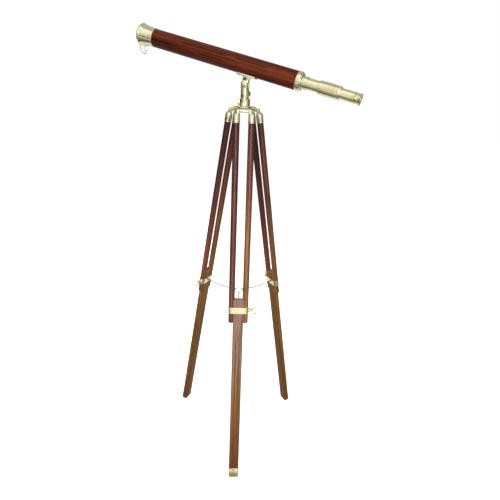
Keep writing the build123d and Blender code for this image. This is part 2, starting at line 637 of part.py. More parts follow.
for name, azimuth in LEG_SIDES.items():
    leg = leg_plane(azimuth)
    sides = {"left": -half_spacing, "right": half_spacing}

    for side, out in sides.items():
        with BuildPart() as dowel:
            with BuildSketch(leg.offset(DOWEL_TOP)):
                with Locations((out, 0)):
                    Circle(DOWEL_RADIUS)
            extrude(amount=DOWEL_END - DOWEL_TOP)
            fillet(dowel.faces().sort_by(Axis(leg.origin, leg.z_dir))[-1].edges(), 1.5)
        save(dowel.part, f"{name}_dowel_{side}")

    with BuildPart() as ferrules:
        for out in sides.values():
            centre = leg.from_local_coords((out, 0, 0))
            with BuildSketch(Plane(origin=centre, x_dir=leg.z_dir, z_dir=leg.y_dir)):
                with BuildLine():
                    Line((5.5, 0), (5.5, 3.0))
                    ThreePointArc((5.5, 3.0), (9.0, 8.6), (16.0, FERRULE_RADIUS))
                    Line((16.0, FERRULE_RADIUS), (FERRULE_END - 2.4, FERRULE_RADIUS))
                    Line((FERRULE_END - 2.4, FERRULE_RADIUS), (FERRULE_END - 2.0, FERRULE_RADIUS + 0.5))
                    Line((FERRULE_END - 2.0, FERRULE_RADIUS + 0.5), (FERRULE_END, FERRULE_RADIUS + 0.5))
                    Line((FERRULE_END, FERRULE_RADIUS + 0.5), (FERRULE_END, DOWEL_RADIUS))
                    Line((FERRULE_END, DOWEL_RADIUS), (DOWEL_TOP, DOWEL_RADIUS))
                    Line((DOWEL_TOP, DOWEL_RADIUS), (DOWEL_TOP, 0))
                    Line((DOWEL_TOP, 0), (5.5, 0))
                make_face()
            revolve(axis=Axis(centre, leg.z_dir))
            eye_start = EYE_INNER if out > 0 else -EYE_INNER - EYE_WIDTH
            with BuildSketch(side_plane(leg, eye_start, 0, 0)):
                Circle(EYE_RADIUS)
                with Locations((6.0, 0)):
                    Rectangle(12.0, 2 * EYE_RADIUS)
            extrude(amount=EYE_WIDTH)
            with BuildSketch(side_plane(leg, eye_start, 0, 0)):
                Circle(JOURNAL_RADIUS + RUNNING)
            extrude(amount=EYE_WIDTH, mode=Mode.SUBTRACT)
    save(ferrules.part, f"{name}_ferrules")

    with BuildPart() as band:
        with BuildSketch(leg.offset(BAND_MIDDLE - BAND_HEIGHT / 2)):
            SlotCenterToCenter(DOWEL_SPACING, 2 * band_outer)
            SlotCenterToCenter(DOWEL_SPACING, 2 * band_inner, mode=Mode.SUBTRACT)
        extrude(amount=BAND_HEIGHT)
        with BuildSketch(side_plane(leg, band_side - 0.6, 0, BAND_MIDDLE)):
            Circle(BOSS_RADIUS)
        extrude(amount=BOSS_END - band_side + 0.6)
        with BuildSketch(side_plane(leg, band_side - BAND_WALL - 1, 0, BAND_MIDDLE)):
            Circle(CLAMP_SHANK + RUNNING)
        extrude(amount=BOSS_END, mode=Mode.SUBTRACT)
        with BuildSketch(side_plane(leg, 0, 0, BAND_MIDDLE)):
            with Locations((0, band_outer + LUG_HOLE_OUT)):
                Circle(3.2)
            with Locations((0, band_outer + LUG_HOLE_OUT / 2 - 0.3)):
                Rectangle(6.4, LUG_HOLE_OUT + 0.6)
            with Locations((0, band_outer + LUG_HOLE_OUT)):
                Circle(LUG_HOLE_RADIUS, mode=Mode.SUBTRACT)
        extrude(amount=0.8, both=True)
    save(band.part, f"{name}_clamp_band")

    with BuildPart() as wing_screw:
        with BuildSketch(side_plane(leg, band_side - BAND_WALL + 0.1, 0, BAND_MIDDLE)):
            Circle(CLAMP_SHANK)
        extrude(amount=8.0)
        with BuildSketch(side_plane(leg, BOSS_END + 0.3, 0, BAND_MIDDLE)):
            Circle(5.5)
        extrude(amount=9.0)
        for up in (-1, 1):
            with BuildSketch(face_plane(leg, BOSS_END + 0.3, 0, BAND_MIDDLE)):
                with BuildLine():
                    Line((2.0, up * 4.0), (9.0, up * 2.0))
                    Line((9.0, up * 2.0), (17.0, up * 6.0))
                    ThreePointArc((17.0, up * 6.0), (23.2, up * 12.2), (17.5, up * 16.0))
                    ThreePointArc((17.5, up * 16.0), (8.0, up * 9.5), (2.0, up * 4.0))
                make_face()
            extrude(amount=1.4, both=True)
    save(wing_screw.part, f"{name}_wing_screw")

    with BuildPart() as board:
        with BuildSketch(leg.offset(BOARD_TOP)):
            Rectangle(BOARD_WIDTH, BOARD_THICKNESS)
            with Locations((-half_spacing, 0), (half_spacing, 0)):
                Circle(DOWEL_RADIUS + SLIDING, mode=Mode.SUBTRACT)
        extrude(amount=HINGE_HEIGHT / cos(radians(LEG_TILT)) - BOARD_TOP + 10)
        flute_out = BOARD_THICKNESS / 2 - FLUTE_DEPTH + FLUTE_RADIUS
        with BuildSketch(leg.offset(FLUTE_TOP + FLUTE_RADIUS)):
            with Locations((0, flute_out)):
                Circle(FLUTE_RADIUS)
        extrude(amount=FLUTE_END - FLUTE_TOP - 2 * FLUTE_RADIUS, mode=Mode.SUBTRACT)
        for down in (FLUTE_TOP + FLUTE_RADIUS, FLUTE_END - FLUTE_RADIUS):
            with Locations(leg.from_local_coords((0, flute_out, down))):
                Sphere(FLUTE_RADIUS, mode=Mode.SUBTRACT)
        split(bisect_by=Plane.XY.offset(SOLE), keep=Keep.TOP)
        with BuildSketch(face_plane(leg, 0, BOARD_THICKNESS / 2 - 9, SHOE_SCREW_DOWN)):
            Circle(SCREW_SHANK)
        extrude(amount=12.0, mode=Mode.SUBTRACT)
    save(board.part, f"{name}_slide_board")

    with BuildPart() as shoe:
        with BuildSketch(leg.offset(SHOE_TOP)):
            with Locations((0, SHOE_PLATE / 2)):
                Rectangle(SHOE_WIDTH, BOARD_THICKNESS + SHOE_PLATE)
        extrude(amount=60.0)
        split(bisect_by=Plane.XY.offset(SOLE), keep=Keep.BOTTOM)
        with BuildSketch(leg.offset(SHOE_TOP)):
            with Locations((0, (BOARD_THICKNESS + SHOE_PLATE) / 2)):
                Rectangle(SHOE_WIDTH, SHOE_PLATE)
        extrude(amount=60.0)
        split(bisect_by=Plane.XY, keep=Keep.TOP)
        with BuildSketch(face_plane(leg, 0, BOARD_THICKNESS / 2 - 1, SHOE_SCREW_DOWN)):
            Circle(SCREW_SHANK)
        extrude(amount=4.0, mode=Mode.SUBTRACT)
    save(shoe.part, f"{name}_foot_shoe")

    with BuildPart() as shoe_screw:
        with BuildSketch(face_plane(leg, 0, BOARD_THICKNESS / 2 + SHOE_PLATE, SHOE_SCREW_DOWN)):
            Circle(3.0)
        extrude(amount=1.2)
        with BuildSketch(face_plane(leg, 0, BOARD_THICKNESS / 2 - 9, SHOE_SCREW_DOWN)):
            Circle(SCREW_SHANK)
        extrude(amount=9 + SHOE_PLATE)
    save(shoe_screw.part, f"{name}_shoe_screw")

    # The spreader chain hangs in the leg's upright plane, from the band's lug to the ring.
    upright = upright_plane(azimuth)
    lug = leg.from_local_coords((0, -band_outer - LUG_HOLE_OUT, BAND_MIDDLE))
    lug_out = hypot(lug.X, lug.Y) - LUG_REACH
    ring_out = RING_RADIUS - RING_REACH
    chain_start = lug.Z - LUG_DROP
    chain_end = RING_HEIGHT + RING_LIFT
    count = 2 * LINKS_PER_HALF
    reach = lug_out - ring_out
    stops = []
    for index in range(count + 1):
        share = index / count
        height = chain_start + (chain_end - chain_start) * share - CHAIN_SAG * 4 * share * (1 - share)
        stops.append(upright.from_local_coords((lug_out - reach * share, height, 0)))
    places = link_places(stops, leg.x_dir, 1)
    for half, chosen in (("outer", places[:LINKS_PER_HALF]), ("inner", places[LINKS_PER_HALF:])):
        with BuildPart() as chain:
            with Locations(*chosen):
                add(spreader_link)
        save(chain.part, f"{name}_chain_{half}")
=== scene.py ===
"""Looks of a floor-standing brass and hardwood telescope on a folding tripod."""
import json
import logging
import math
from collections.abc import Callable, Iterable, Iterator, Sequence
from dataclasses import dataclass
from enum import Enum

import bmesh
import bpy
from mathutils import Matrix, Vector


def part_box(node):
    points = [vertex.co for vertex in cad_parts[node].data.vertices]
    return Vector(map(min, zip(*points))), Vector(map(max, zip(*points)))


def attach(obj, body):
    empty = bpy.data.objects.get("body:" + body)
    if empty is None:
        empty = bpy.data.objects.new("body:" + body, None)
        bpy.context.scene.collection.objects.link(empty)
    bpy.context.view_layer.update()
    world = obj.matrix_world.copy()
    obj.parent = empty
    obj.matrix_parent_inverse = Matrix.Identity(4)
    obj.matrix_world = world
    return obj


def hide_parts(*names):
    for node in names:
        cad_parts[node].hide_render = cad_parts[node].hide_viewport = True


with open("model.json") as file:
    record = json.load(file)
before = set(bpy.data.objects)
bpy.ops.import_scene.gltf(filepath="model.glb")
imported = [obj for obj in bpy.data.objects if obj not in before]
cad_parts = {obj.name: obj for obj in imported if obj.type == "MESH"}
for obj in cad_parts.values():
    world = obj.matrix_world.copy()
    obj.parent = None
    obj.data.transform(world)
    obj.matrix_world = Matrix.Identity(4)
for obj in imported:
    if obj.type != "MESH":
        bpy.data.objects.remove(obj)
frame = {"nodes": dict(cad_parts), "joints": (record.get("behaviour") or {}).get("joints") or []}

logging.basicConfig(level=logging.INFO, format="%(message)s")
log = logging.getLogger("telescope")

MM = 0.001
SOFTENED_CREASE = 50.0
TURN = 2 * math.pi
Profile = Sequence[tuple[float, float]]
Colour = tuple[float, float, float]
Socket = bpy.types.NodeSocket
Piece = bpy.types.Object
JOINTS = {joint["name"]: joint for joint in frame["joints"]}


class Body(str, Enum):
    """The moving bodies of the head and the telescope."""

    HUB = "hub"
    HEAD = "azimuth_head"
    HEAD_SCREW = "azimuth_screw"
    KNOB = "pivot_knob"
    SCOPE = "telescope"
    CAP = "dust_cap"
    DRAW = "draw_tube"
    EYEPIECE = "eyepiece"


class LegName(str, Enum):
    """The three legs, named by where they stand."""

    FRONT = "front"
    LEFT = "left"
    RIGHT = "right"


# ------------------------------------------------------------------ shader groups
class NodeSketch:
    """Short helpers for wiring one node tree."""

    def __init__(self, tree: bpy.types.NodeTree) -> None:
        """Keep the tree that the nodes go in."""
        self.tree = tree

    def add(self, kind: str, **settings: object) -> bpy.types.Node:
        """Add a node.

        Args:
            kind: the node's Blender type name.
            settings: attributes to set on the node.

        Returns:
            The new node.
        """
        node = self.tree.nodes.new(kind)
        for name, value in settings.items():
            setattr(node, name, value)
        return node

    def feed(self, socket: Socket, value: object) -> None:
        """Link a socket to an output, or set it to a constant.

        Args:
            socket: the input to feed.
            value: another node's output, or a constant.
        """
        if isinstance(value, Socket):
            self.tree.links.new(value, socket)
        else:
            socket.default_value = value

    def math(self, operation: str, a: object, b: object = 0.0, clamp: bool = False) -> Socket:
        """Add a Math node.

        Args:
            operation: the node's operation.
            a: first operand.
            b: second operand.
            clamp: whether the result stays from 0 to 1.

        Returns:
            The result.
        """
        node = self.add("ShaderNodeMath", operation=operation, use_clamp=clamp)
        self.feed(node.inputs[0], a)
        self.feed(node.inputs[1], b)
        return node.outputs[0]

    def mix(self, factor: object, a: object, b: object) -> Socket:
        """Add a colour Mix node.

        Args:
            factor: share of the second colour.
            a: first colour.
            b: second colour.

        Returns:
            The mixed colour.
        """
        node = self.add("ShaderNodeMix", data_type="RGBA")
        self.feed(node.inputs["Factor"], factor)
        self.feed(node.inputs[6], a)
        self.feed(node.inputs[7], b)
        return node.outputs[2]

    def spread(
        self, value: object, low: float, high: float, to_low: float = 0.0, to_high: float = 1.0
    ) -> Socket:
        """Map a value smoothly from one range to another.

        Args:
            value: the value to map.
            low: where the range starts.
            high: where the range ends.
            to_low: the result at the start.
            to_high: the result at the end.

        Returns:
            The mapped output.
        """
        node = self.add("ShaderNodeMapRange", interpolation_type="SMOOTHSTEP")
        self.feed(node.inputs["Value"], value)
        node.inputs["From Min"].default_value = low
        node.inputs["From Max"].default_value = high
        node.inputs["To Min"].default_value = to_low
        node.inputs["To Max"].default_value = to_high
        return node.outputs["Result"]

    def noise(
        self, vector: object, stretch: Sequence[float], detail: float = 3.0, bend: float = 0.0
    ) -> Socket:
        """Noise on a stretched vector.

        Args:
            vector: coordinates to read.
            stretch: how often the pattern repeats per metre along each axis.
            detail: octaves of noise.
            bend: how far the noise warps itself.

        Returns:
            The noise's value output.
        """
        mapping = self.add("ShaderNodeMapping")
        self.feed(mapping.inputs["Vector"], vector)
        mapping.inputs["Scale"].default_value = stretch
        node = self.add("ShaderNodeTexNoise")
        self.feed(node.inputs["Vector"], mapping.outputs[0])
        node.inputs["Scale"].default_value = 1.0
        node.inputs["Detail"].default_value = detail
        node.inputs["Distortion"].default_value = bend
        return node.outputs["Fac"]


def new_group(
    name: str, inputs: dict[str, str], outputs: dict[str, str]
) -> tuple[bpy.types.NodeTree, NodeSketch, bpy.types.Node, bpy.types.Node]:
    """Start a shader node group.

    Args:
        name: the group's name.
        inputs: socket names and types that go in.
        outputs: socket names and types that come out.

    Returns:
        The group, a sketch for it, and its input and output nodes.
    """
    group = bpy.data.node_groups.new(name, "ShaderNodeTree")
    for socket, kind in inputs.items():
        group.interface.new_socket(socket, in_out="INPUT", socket_type=kind)
    for socket, kind in outputs.items():
        group.interface.new_socket(socket, in_out="OUTPUT", socket_type=kind)
    sketch = NodeSketch(group)
    return group, sketch, sketch.add("NodeGroupInput"), sketch.add("NodeGroupOutput")


def hardwood_group() -> bpy.types.NodeTree:
    """Grain of a ring-porous hardwood that runs along the third coordinate."""
    group, s, inp, out = new_group(
        "hardwood_grain",
        {"Vector": "NodeSocketVector", "Broad": "NodeSocketFloat"},
        dict.fromkeys(("Tone", "Streak", "Pores", "Height"), "NodeSocketFloat"),
    )
    scaled = s.add("ShaderNodeVectorMath", operation="SCALE")
    s.feed(scaled.inputs[0], inp.outputs["Vector"])
    s.feed(scaled.inputs["Scale"], inp.outputs["Broad"])
    broad = s.noise(scaled.outputs[0], (95.0, 95.0, 2.2), 3.0, 0.7)
    figure = s.noise(scaled.outputs[0], (230.0, 230.0, 4.0), 4.0, 0.4)
    fibre = s.noise(inp.outputs["Vector"], (640.0, 640.0, 22.0), 2.0)
    pores = s.noise(inp.outputs["Vector"], (1500.0, 1500.0, 60.0), 1.0)
    tone = s.math("ADD", s.math("MULTIPLY", broad, 0.55), s.math("MULTIPLY", figure, 0.45))
    tone = s.math("ADD", tone, s.math("MULTIPLY", s.math("SUBTRACT", fibre, 0.5), 0.28), clamp=True)
    rings = s.add("ShaderNodeTexWave", wave_type="BANDS", bands_direction="X", wave_profile="SIN")
    s.feed(rings.inputs["Vector"], scaled.outputs[0])
    rings.inputs["Scale"].default_value = 34.0
    rings.inputs["Distortion"].default_value = 5.0
    rings.inputs["Detail"].default_value = 2.0
    rings.inputs["Detail Scale"].default_value = 0.6
    streak = s.math("MULTIPLY", s.spread(figure, 0.50, 0.66), s.spread(rings.outputs["Fac"], 0.25, 0.75))
    pore_mask = s.spread(pores, 0.60, 0.72)
    s.feed(out.inputs["Tone"], s.spread(tone, 0.34, 0.66))
    s.feed(out.inputs["Streak"], streak)
    s.feed(out.inputs["Pores"], pore_mask)
    height = s.math("SUBTRACT", s.math("MULTIPLY", fibre, 0.35), s.math("MULTIPLY", pore_mask, 0.65))
    s.feed(out.inputs["Height"], height)
    return group


def patina_group() -> bpy.types.NodeTree:
    """Handling marks on polished metal: cloudy tarnish, fine hairlines and a soft ripple."""
    group, s, inp, out = new_group(
        "metal_patina",
        {"Vector": "NodeSocketVector"},
        dict.fromkeys(("Cloud", "Hairline", "Height"), "NodeSocketFloat"),
    )
    cloud = s.noise(inp.outputs["Vector"], (24.0, 24.0, 24.0), 4.0, 0.4)
    hair = s.noise(inp.outputs["Vector"], (900.0, 130.0, 900.0), 2.0)
    ripple = s.noise(inp.outputs["Vector"], (55.0, 55.0, 55.0), 1.0)
    s.feed(out.inputs["Cloud"], s.spread(cloud, 0.38, 0.70))
    s.feed(out.inputs["Hairline"], s.spread(hair, 0.45, 0.75))
    s.feed(out.inputs["Height"], s.math("ADD", ripple, s.math("MULTIPLY", hair, 0.05)))
    return group


class Groups:
    """Shader groups, each built once."""

    made: dict[str, bpy.types.NodeTree] = {}

    @classmethod
    def get(cls, name: str, maker: Callable[[], bpy.types.NodeTree]) -> bpy.types.NodeTree:
        """Return the named group, building it the first time.

        Args:
            name: what the group is kept under.
            maker: function that builds it.

        Returns:
            The group.
        """
        if name not in cls.made:
            cls.made[name] = maker()
        return cls.made[name]


def start_material(name: str) -> tuple[bpy.types.Material, NodeSketch, bpy.types.Node]:
    """Make an empty Principled material.

    Args:
        name: the material's name.

    Returns:
        The material, a sketch for its nodes, and its Principled node.
    """
    material = bpy.data.materials.new(name)
    material.use_nodes = True
    tree = material.node_tree
    tree.nodes.clear()
    sketch = NodeSketch(tree)
    shader = sketch.add("ShaderNodeBsdfPrincipled")
    output = sketch.add("ShaderNodeOutputMaterial")
    tree.links.new(shader.outputs[0], output.inputs["Surface"])
    return material, sketch, shader


@dataclass(frozen=True)
class WoodFinish:
    """Stained and varnished hardwood, coloured along the piece's length."""

    name: str
    stops: tuple[tuple[float, Colour], ...]
    streak: Colour = (0.028, 0.006, 0.003)
    streak_weight: float = 0.7
    broad: float = 1.0
    contrast: float = 0.42
    gloss: float = 0.22
    specular: float = 0.30
    wander: float = 0.12
    pore_weight: float = 0.35
    pore_roughness: float = 0.15
    bump: float = 0.25
    bump_depth: float = 0.0003

    def material(self) -> bpy.types.Material:
        """Build the material."""
        material, s, shader = start_material(self.name)
        grain = s.add("ShaderNodeAttribute", attribute_name="grain")
        group = s.add("ShaderNodeGroup", node_tree=Groups.get("hardwood", hardwood_group))
        s.feed(group.inputs["Vector"], grain.outputs["Vector"])
        group.inputs["Broad"].default_value = self.broad
        parts = s.add("ShaderNodeSeparateXYZ")
        s.feed(parts.inputs[0], grain.outputs["Vector"])
        ramp = s.add("ShaderNodeValToRGB")
        ramp.color_ramp.interpolation = "EASE"
        elements = ramp.color_ramp.elements
        while len(elements) > 1:
            elements.remove(elements[0])
        reach = max(place for place, _ in self.stops)
        for index, (place, colour) in enumerate(self.stops):
            element = elements[0] if index == 0 else elements.new(place / reach)
            element.position = place / reach
            element.color = (*colour, 1)
        wander = s.math("MULTIPLY", s.math("SUBTRACT", group.outputs["Tone"], 0.5), self.wander * reach)
        along = s.math("DIVIDE", s.math("ADD", parts.outputs["Z"], wander), reach, clamp=True)
        s.feed(ramp.inputs["Fac"], along)
        lift = s.math("MULTIPLY", group.outputs["Tone"], 2 * self.contrast)
        bright = s.math("ADD", lift, 1 - self.contrast)
        toned = s.add("ShaderNodeVectorMath", operation="SCALE")
        s.feed(toned.inputs[0], ramp.outputs["Color"])
        s.feed(toned.inputs["Scale"], bright)
        streak_mask = s.math("MULTIPLY", group.outputs["Streak"], self.streak_weight)
        streaked = s.mix(streak_mask, toned.outputs[0], (*self.streak, 1))
        pore_mask = s.math("MULTIPLY", group.outputs["Pores"], self.pore_weight)
        pored = s.mix(pore_mask, streaked, (*self.streak, 1))
        s.feed(shader.inputs["Base Color"], pored)
        rough = s.math("ADD", s.math("MULTIPLY", group.outputs["Pores"], self.pore_roughness), self.gloss)
        s.feed(shader.inputs["Roughness"], rough)
        bump = s.add("ShaderNodeBump")
        bump.inputs["Strength"].default_value = self.bump
        bump.inputs["Distance"].default_value = self.bump_depth
        s.feed(bump.inputs["Height"], group.outputs["Height"])
        s.feed(shader.inputs["Normal"], bump.outputs[0])
        shader.inputs["Specular IOR Level"].default_value = self.specular
        return material


@dataclass(frozen=True)
class MetalFinish:
    """Polished or plated metal with a light patina."""

    name: str
    bright: Colour = (0.86, 0.80, 0.52)
    worn: Colour = (0.74, 0.67, 0.37)
    roughness: float = 0.08
    ripple: float = 0.03
    ripple_depth: float = 0.0006
    hairline_roughness: float = 0.08
    cloud_roughness: float = 0.05

    def material(self) -> bpy.types.Material:
        """Build the material."""
        material, s, shader = start_material(self.name)
        place = s.add("ShaderNodeTexCoord")
        group = s.add("ShaderNodeGroup", node_tree=Groups.get("patina", patina_group))
        s.feed(group.inputs["Vector"], place.outputs["Object"])
        colour = s.mix(group.outputs["Cloud"], (*self.bright, 1), (*self.worn, 1))
        s.feed(shader.inputs["Base Color"], colour)
        shader.inputs["Metallic"].default_value = 1.0
        hairline = s.math("MULTIPLY", group.outputs["Hairline"], self.hairline_roughness)
        cloud = s.math("MULTIPLY", group.outputs["Cloud"], self.cloud_roughness)
        s.feed(shader.inputs["Roughness"], s.math("ADD", s.math("ADD", hairline, self.roughness), cloud))
        bump = s.add("ShaderNodeBump")
        bump.inputs["Strength"].default_value = self.ripple
        bump.inputs["Distance"].default_value = self.ripple_depth
        s.feed(bump.inputs["Height"], group.outputs["Height"])
        s.feed(shader.inputs["Normal"], bump.outputs[0])
        return material


@dataclass(frozen=True)
class GlassFinish:
    """Coated optical glass."""

    name: str = "optical_glass"
    tint: Colour = (0.90, 0.96, 0.94)

    def material(self) -> bpy.types.Material:
        """Build the material."""
        material, s, shader = start_material(self.name)
        place = s.add("ShaderNodeTexCoord")
        smear = s.noise(place.outputs["Object"], (90.0, 90.0, 90.0), 4.0, 0.8)
        s.feed(shader.inputs["Roughness"], s.spread(smear, 0.45, 0.80, 0.02, 0.09))
        shader.inputs["Base Color"].default_value = (*self.tint, 1)
        shader.inputs["Transmission Weight"].default_value = 1.0
        shader.inputs["IOR"].default_value = 1.52
        return material


Finish = WoodFinish | MetalFinish | GlassFinish


class Finishes:
    """Every finish of the telescope, built on first use."""

    BRASS = MetalFinish("polished_brass")
    # Brass of the spreader chains and ring, painted far darker than the polished brass: painted shade that
    # stands in for the shading among the thin links.
    CHAIN_BRASS_PAINTED_SHADE = MetalFinish("chain_brass_painted_shade", (0.26, 0.23, 0.12), (0.18, 0.15, 0.07), 0.34, 0.03)
    STEEL = MetalFinish("plated_steel", (0.55, 0.55, 0.53), (0.42, 0.42, 0.40), 0.22, 0.03)
    LINER = MetalFinish("blackened_brass", (0.05, 0.045, 0.035), (0.09, 0.07, 0.04), 0.45, 0.05)
    GLASS = GlassFinish()
    BARREL = WoodFinish(
        "barrel_rosewood",
        ((0.0, (0.112, 0.022, 0.008)), (0.5, (0.122, 0.025, 0.009))),
        streak=(0.020, 0.003, 0.001),
        streak_weight=0.95,
        broad=0.42,
        contrast=0.66,
        specular=0.08,
    )
    DOWEL_RED = WoodFinish(
        "dowel_red_hardwood",
        ((0.0, (0.060, 0.010, 0.006)), (0.30, (0.15, 0.035, 0.016)), (0.7, (0.28, 0.085, 0.032))),
        specular=0.45,
    )
    DOWEL_GOLD = WoodFinish(
        "dowel_golden_hardwood",
        ((0.0, (0.070, 0.016, 0.009)), (0.25, (0.17, 0.050, 0.020)), (0.45, (0.32, 0.125, 0.036)),
         (0.7, (0.38, 0.155, 0.045))),
        specular=0.45,
    )
    # Front board: the pale pinkish colour over its upper part is the wood's own tone lightened with painted
    # sheen, a painted reflection of the bright front; lower down it turns golden, then reddish at the foot.
    BOARD_PAINTED_SHEEN = WoodFinish(
        "board_hardwood_painted_sheen",
        ((0.0, (0.40, 0.23, 0.17)), (0.62, (0.40, 0.23, 0.17)), (0.80, (0.44, 0.25, 0.15)),
         (1.0, (0.42, 0.20, 0.065)), (1.14, (0.36, 0.14, 0.035)), (1.3, (0.26, 0.075, 0.014))),
        streak=(0.06, 0.020, 0.008),
        streak_weight=0.55,
    )
    BOARD_BROWN = WoodFinish(
        "board_brown_hardwood",
        ((0.0, (0.24, 0.095, 0.034)), (0.75, (0.40, 0.190, 0.050)), (1.3, (0.38, 0.155, 0.045))),
        streak=(0.07, 0.025, 0.009),
        specular=0.02,
    )

    built: dict[str, bpy.types.Material] = {}

    @classmethod
    def get(cls, finish: Finish) -> bpy.types.Material:
        """Return a finish's material, building it the first time.

        Args:
            finish: the finish wanted.

        Returns:
            Its material.
        """
        if finish.name not in cls.built:
            cls.built[finish.name] = finish.material()
        return cls.built[finish.name]


# ------------------------------------------------------------------ mesh tools
@dataclass(frozen=True)
class Axes:
    """A local frame: an origin and three unit directions, in metres."""

    origin: Vector
    x: Vector
    y: Vector
    z: Vector

    @classmethod
    def along(cls, origin: Vector, z: Vector, x_hint: Vector) -> "Axes":
        """Frame with z along a direction and x as near as can be to a hint.

        Args:
            origin: where the frame stands.
            z: direction of its z, of any length.
            x_hint: direction that x keeps to.

        Returns:
            The frame.
        """
        z = z.normalized()
        x = (x_hint - z * x_hint.dot(z)).normalized()
        return cls(origin, x, z.cross(x), z)

    def at(self, x: float = 0.0, y: float = 0.0, z: float = 0.0) -> Vector:
        """Point given in millimetres along the three directions."""
        return self.origin + (self.x * x + self.y * y + self.z * z) * MM

    def shifted(self, x: float = 0.0, y: float = 0.0, z: float = 0.0) -> "Axes":
        """The same directions from another point, in millimetres."""
        return Axes(self.at(x, y, z), self.x, self.y, self.z)

    def matrix(self) -> Matrix:
        """Matrix that carries local metres to the row frame."""
        turn = Matrix((self.x, self.y, self.z)).transposed().to_4x4()
        return Matrix.Translation(self.origin) @ turn


class Shape:
    """A mesh under construction in the row frame."""

    def __init__(self) -> None:
        """Start with no faces."""
        self.mesh = bmesh.new()

    def lathe(self, axes: Axes, profile: Profile, segments: int = 64) -> "Shape":
        """Turn a closed profile about a frame's z direction.

        Args:
            axes: the frame.
            profile: (distance along z, radius) pairs in millimetres, in order round the section.
            segments: facets round the axis.

        Returns:
            This shape.
        """
        rings = []
        for along, radius in profile:
            if radius < 1e-6:
                rings.append([self.mesh.verts.new(axes.at(0, 0, along))])
                continue
            ring = []
            for step in range(segments):
                angle = TURN * step / segments
                place = axes.at(radius * math.cos(angle), radius * math.sin(angle), along)
                ring.append(self.mesh.verts.new(place))
            rings.append(ring)
        for first, second in zip(rings, rings[1:] + rings[:1]):
            self.bridge(first, second, segments)
        return self

    def bridge(
        self, first: Sequence[bmesh.types.BMVert], second: Sequence[bmesh.types.BMVert], segments: int
    ) -> None:
        """Join two closed rings of points, either of which may be a single pole."""
        if len(first) == 1 and len(second) == 1:
            return
        for step in range(segments):
            after = (step + 1) % segments
            if len(first) == 1:
                self.mesh.faces.new((first[0], second[after], second[step]))
            elif len(second) == 1:
                self.mesh.faces.new((first[step], first[after], second[0]))
            else:
                self.mesh.faces.new((first[step], first[after], second[after], second[step]))

    def prism(self, axes: Axes, outline: Profile, depth: float) -> "Shape":
        """Extrude a closed outline.

        Args:
            axes: the frame, with the outline in its xy plane.
            outline: points round the outline, in millimetres.
            depth: how far it is extruded along z, in millimetres.

        Returns:
            This shape.
        """
        low = [self.mesh.verts.new(axes.at(x, y, 0)) for x, y in outline]
        high = [self.mesh.verts.new(axes.at(x, y, depth)) for x, y in outline]
        count = len(outline)
        self.mesh.faces.new(low[::-1])
        self.mesh.faces.new(high)
        for index in range(count):
            after = (index + 1) % count
            self.mesh.faces.new((low[index], low[after], high[after], high[index]))
        return self

    def sweep(self, sections: Sequence[tuple[Axes, Profile]], closed: bool = False) -> "Shape":
        """Skin a row of sections, each an outline in its own frame's xy plane.

        Args:
            sections: frames and outlines with the same number of points.
            closed: whether the last section joins the first.

        Returns:
            This shape.
        """
        rings = [[self.mesh.verts.new(axes.at(x, y)) for x, y in outline] for axes, outline in sections]
        count = len(rings[0])
        pairs = zip(rings, rings[1:] + rings[:1]) if closed else zip(rings, rings[1:])
        for first, second in pairs:
            for index in range(count):
                after = (index + 1) % count
                self.mesh.faces.new((first[index], first[after], second[after], second[index]))
        if not closed:
            self.mesh.faces.new(rings[0][::-1])
            self.mesh.faces.new(rings[-1])
        return self

    def ring(self, axes: Axes, radius: float, wire: float, around: int = 64, across: int = 12) -> "Shape":
        """Round wire ring about a frame's z direction.

        Args:
            axes: the frame, at the ring's centre.
            radius: from the centre to the middle of the wire, in millimetres.
            wire: the wire's radius in millimetres.
            around: facets round the ring.
            across: facets round the wire.

        Returns:
            This shape.
        """
        profile = [
            (wire * math.sin(TURN * step / across), radius + wire * math.cos(TURN * step / across))
            for step in range(across)
        ]
        return self.lathe(axes, profile, around)

    def piece(
        self,
        name: str,
        finish: Finish,
        body: str,
        bevel: float = 0.0,
        crease: float = 35.0,
        segments: int = 2,
    ) -> Piece:
        """Close the mesh and put it on its body.

        Args:
            name: the piece's name.
            finish: the finish of its whole surface.
            body: the CAD body that it rides on.
            bevel: width of softened edges in millimetres.
            crease: angle in degrees above which an edge stays sharp.
            segments: facets across a softened edge.

        Returns:
            The finished object.
        """
        return finish_piece(self.closed(name), name, finish, body, bevel, crease, segments)

    def closed(self, name: str) -> bpy.types.Mesh:
        """Merge doubles, point the faces outwards and return the mesh."""
        bmesh.ops.remove_doubles(self.mesh, verts=self.mesh.verts, dist=1e-7)
        bmesh.ops.recalc_face_normals(self.mesh, faces=self.mesh.faces)
        data = bpy.data.meshes.new(name)
        self.mesh.to_mesh(data)
        self.mesh.free()
        return data


def finish_piece(
    data: bpy.types.Mesh,
    name: str,
    finish: Finish,
    body: str,
    bevel: float = 0.0,
    crease: float = 35.0,
    segments: int = 2,
) -> Piece:
    """Soften a mesh's edges, shade it, dress it and put it on its body.

    Args:
        data: the mesh.
        name: the piece's name.
        finish: the finish of its whole surface.
        body: the CAD body that it rides on.
        bevel: width of softened edges in millimetres.
        crease: angle in degrees above which an edge stays sharp.
        segments: facets across a softened edge.

    Returns:
        The finished object.
    """
    piece = bpy.data.objects.new(name, data)
    bpy.context.scene.collection.objects.link(piece)
    if bevel > 0:
        modifier = piece.modifiers.new("soft_edges", "BEVEL")
        modifier.width = bevel * MM
        modifier.segments = segments
        modifier.limit_method = "ANGLE"
        modifier.angle_limit = math.radians(crease)
        modifier.use_clamp_overlap = True
        bake_modifiers(piece)
    smooth(piece.data, crease if bevel <= 0 else SOFTENED_CREASE)
    piece.data.materials.clear()
    piece.data.materials.append(Finishes.get(finish))
    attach(piece, body)
    return piece


def smooth(data: bpy.types.Mesh, crease: float) -> None:
    """Shade a mesh smooth, with sharp edges above an angle in degrees."""
    data.polygons.foreach_set("use_smooth", [True] * len(data.polygons))
    data.set_sharp_from_angle(angle=math.radians(crease))


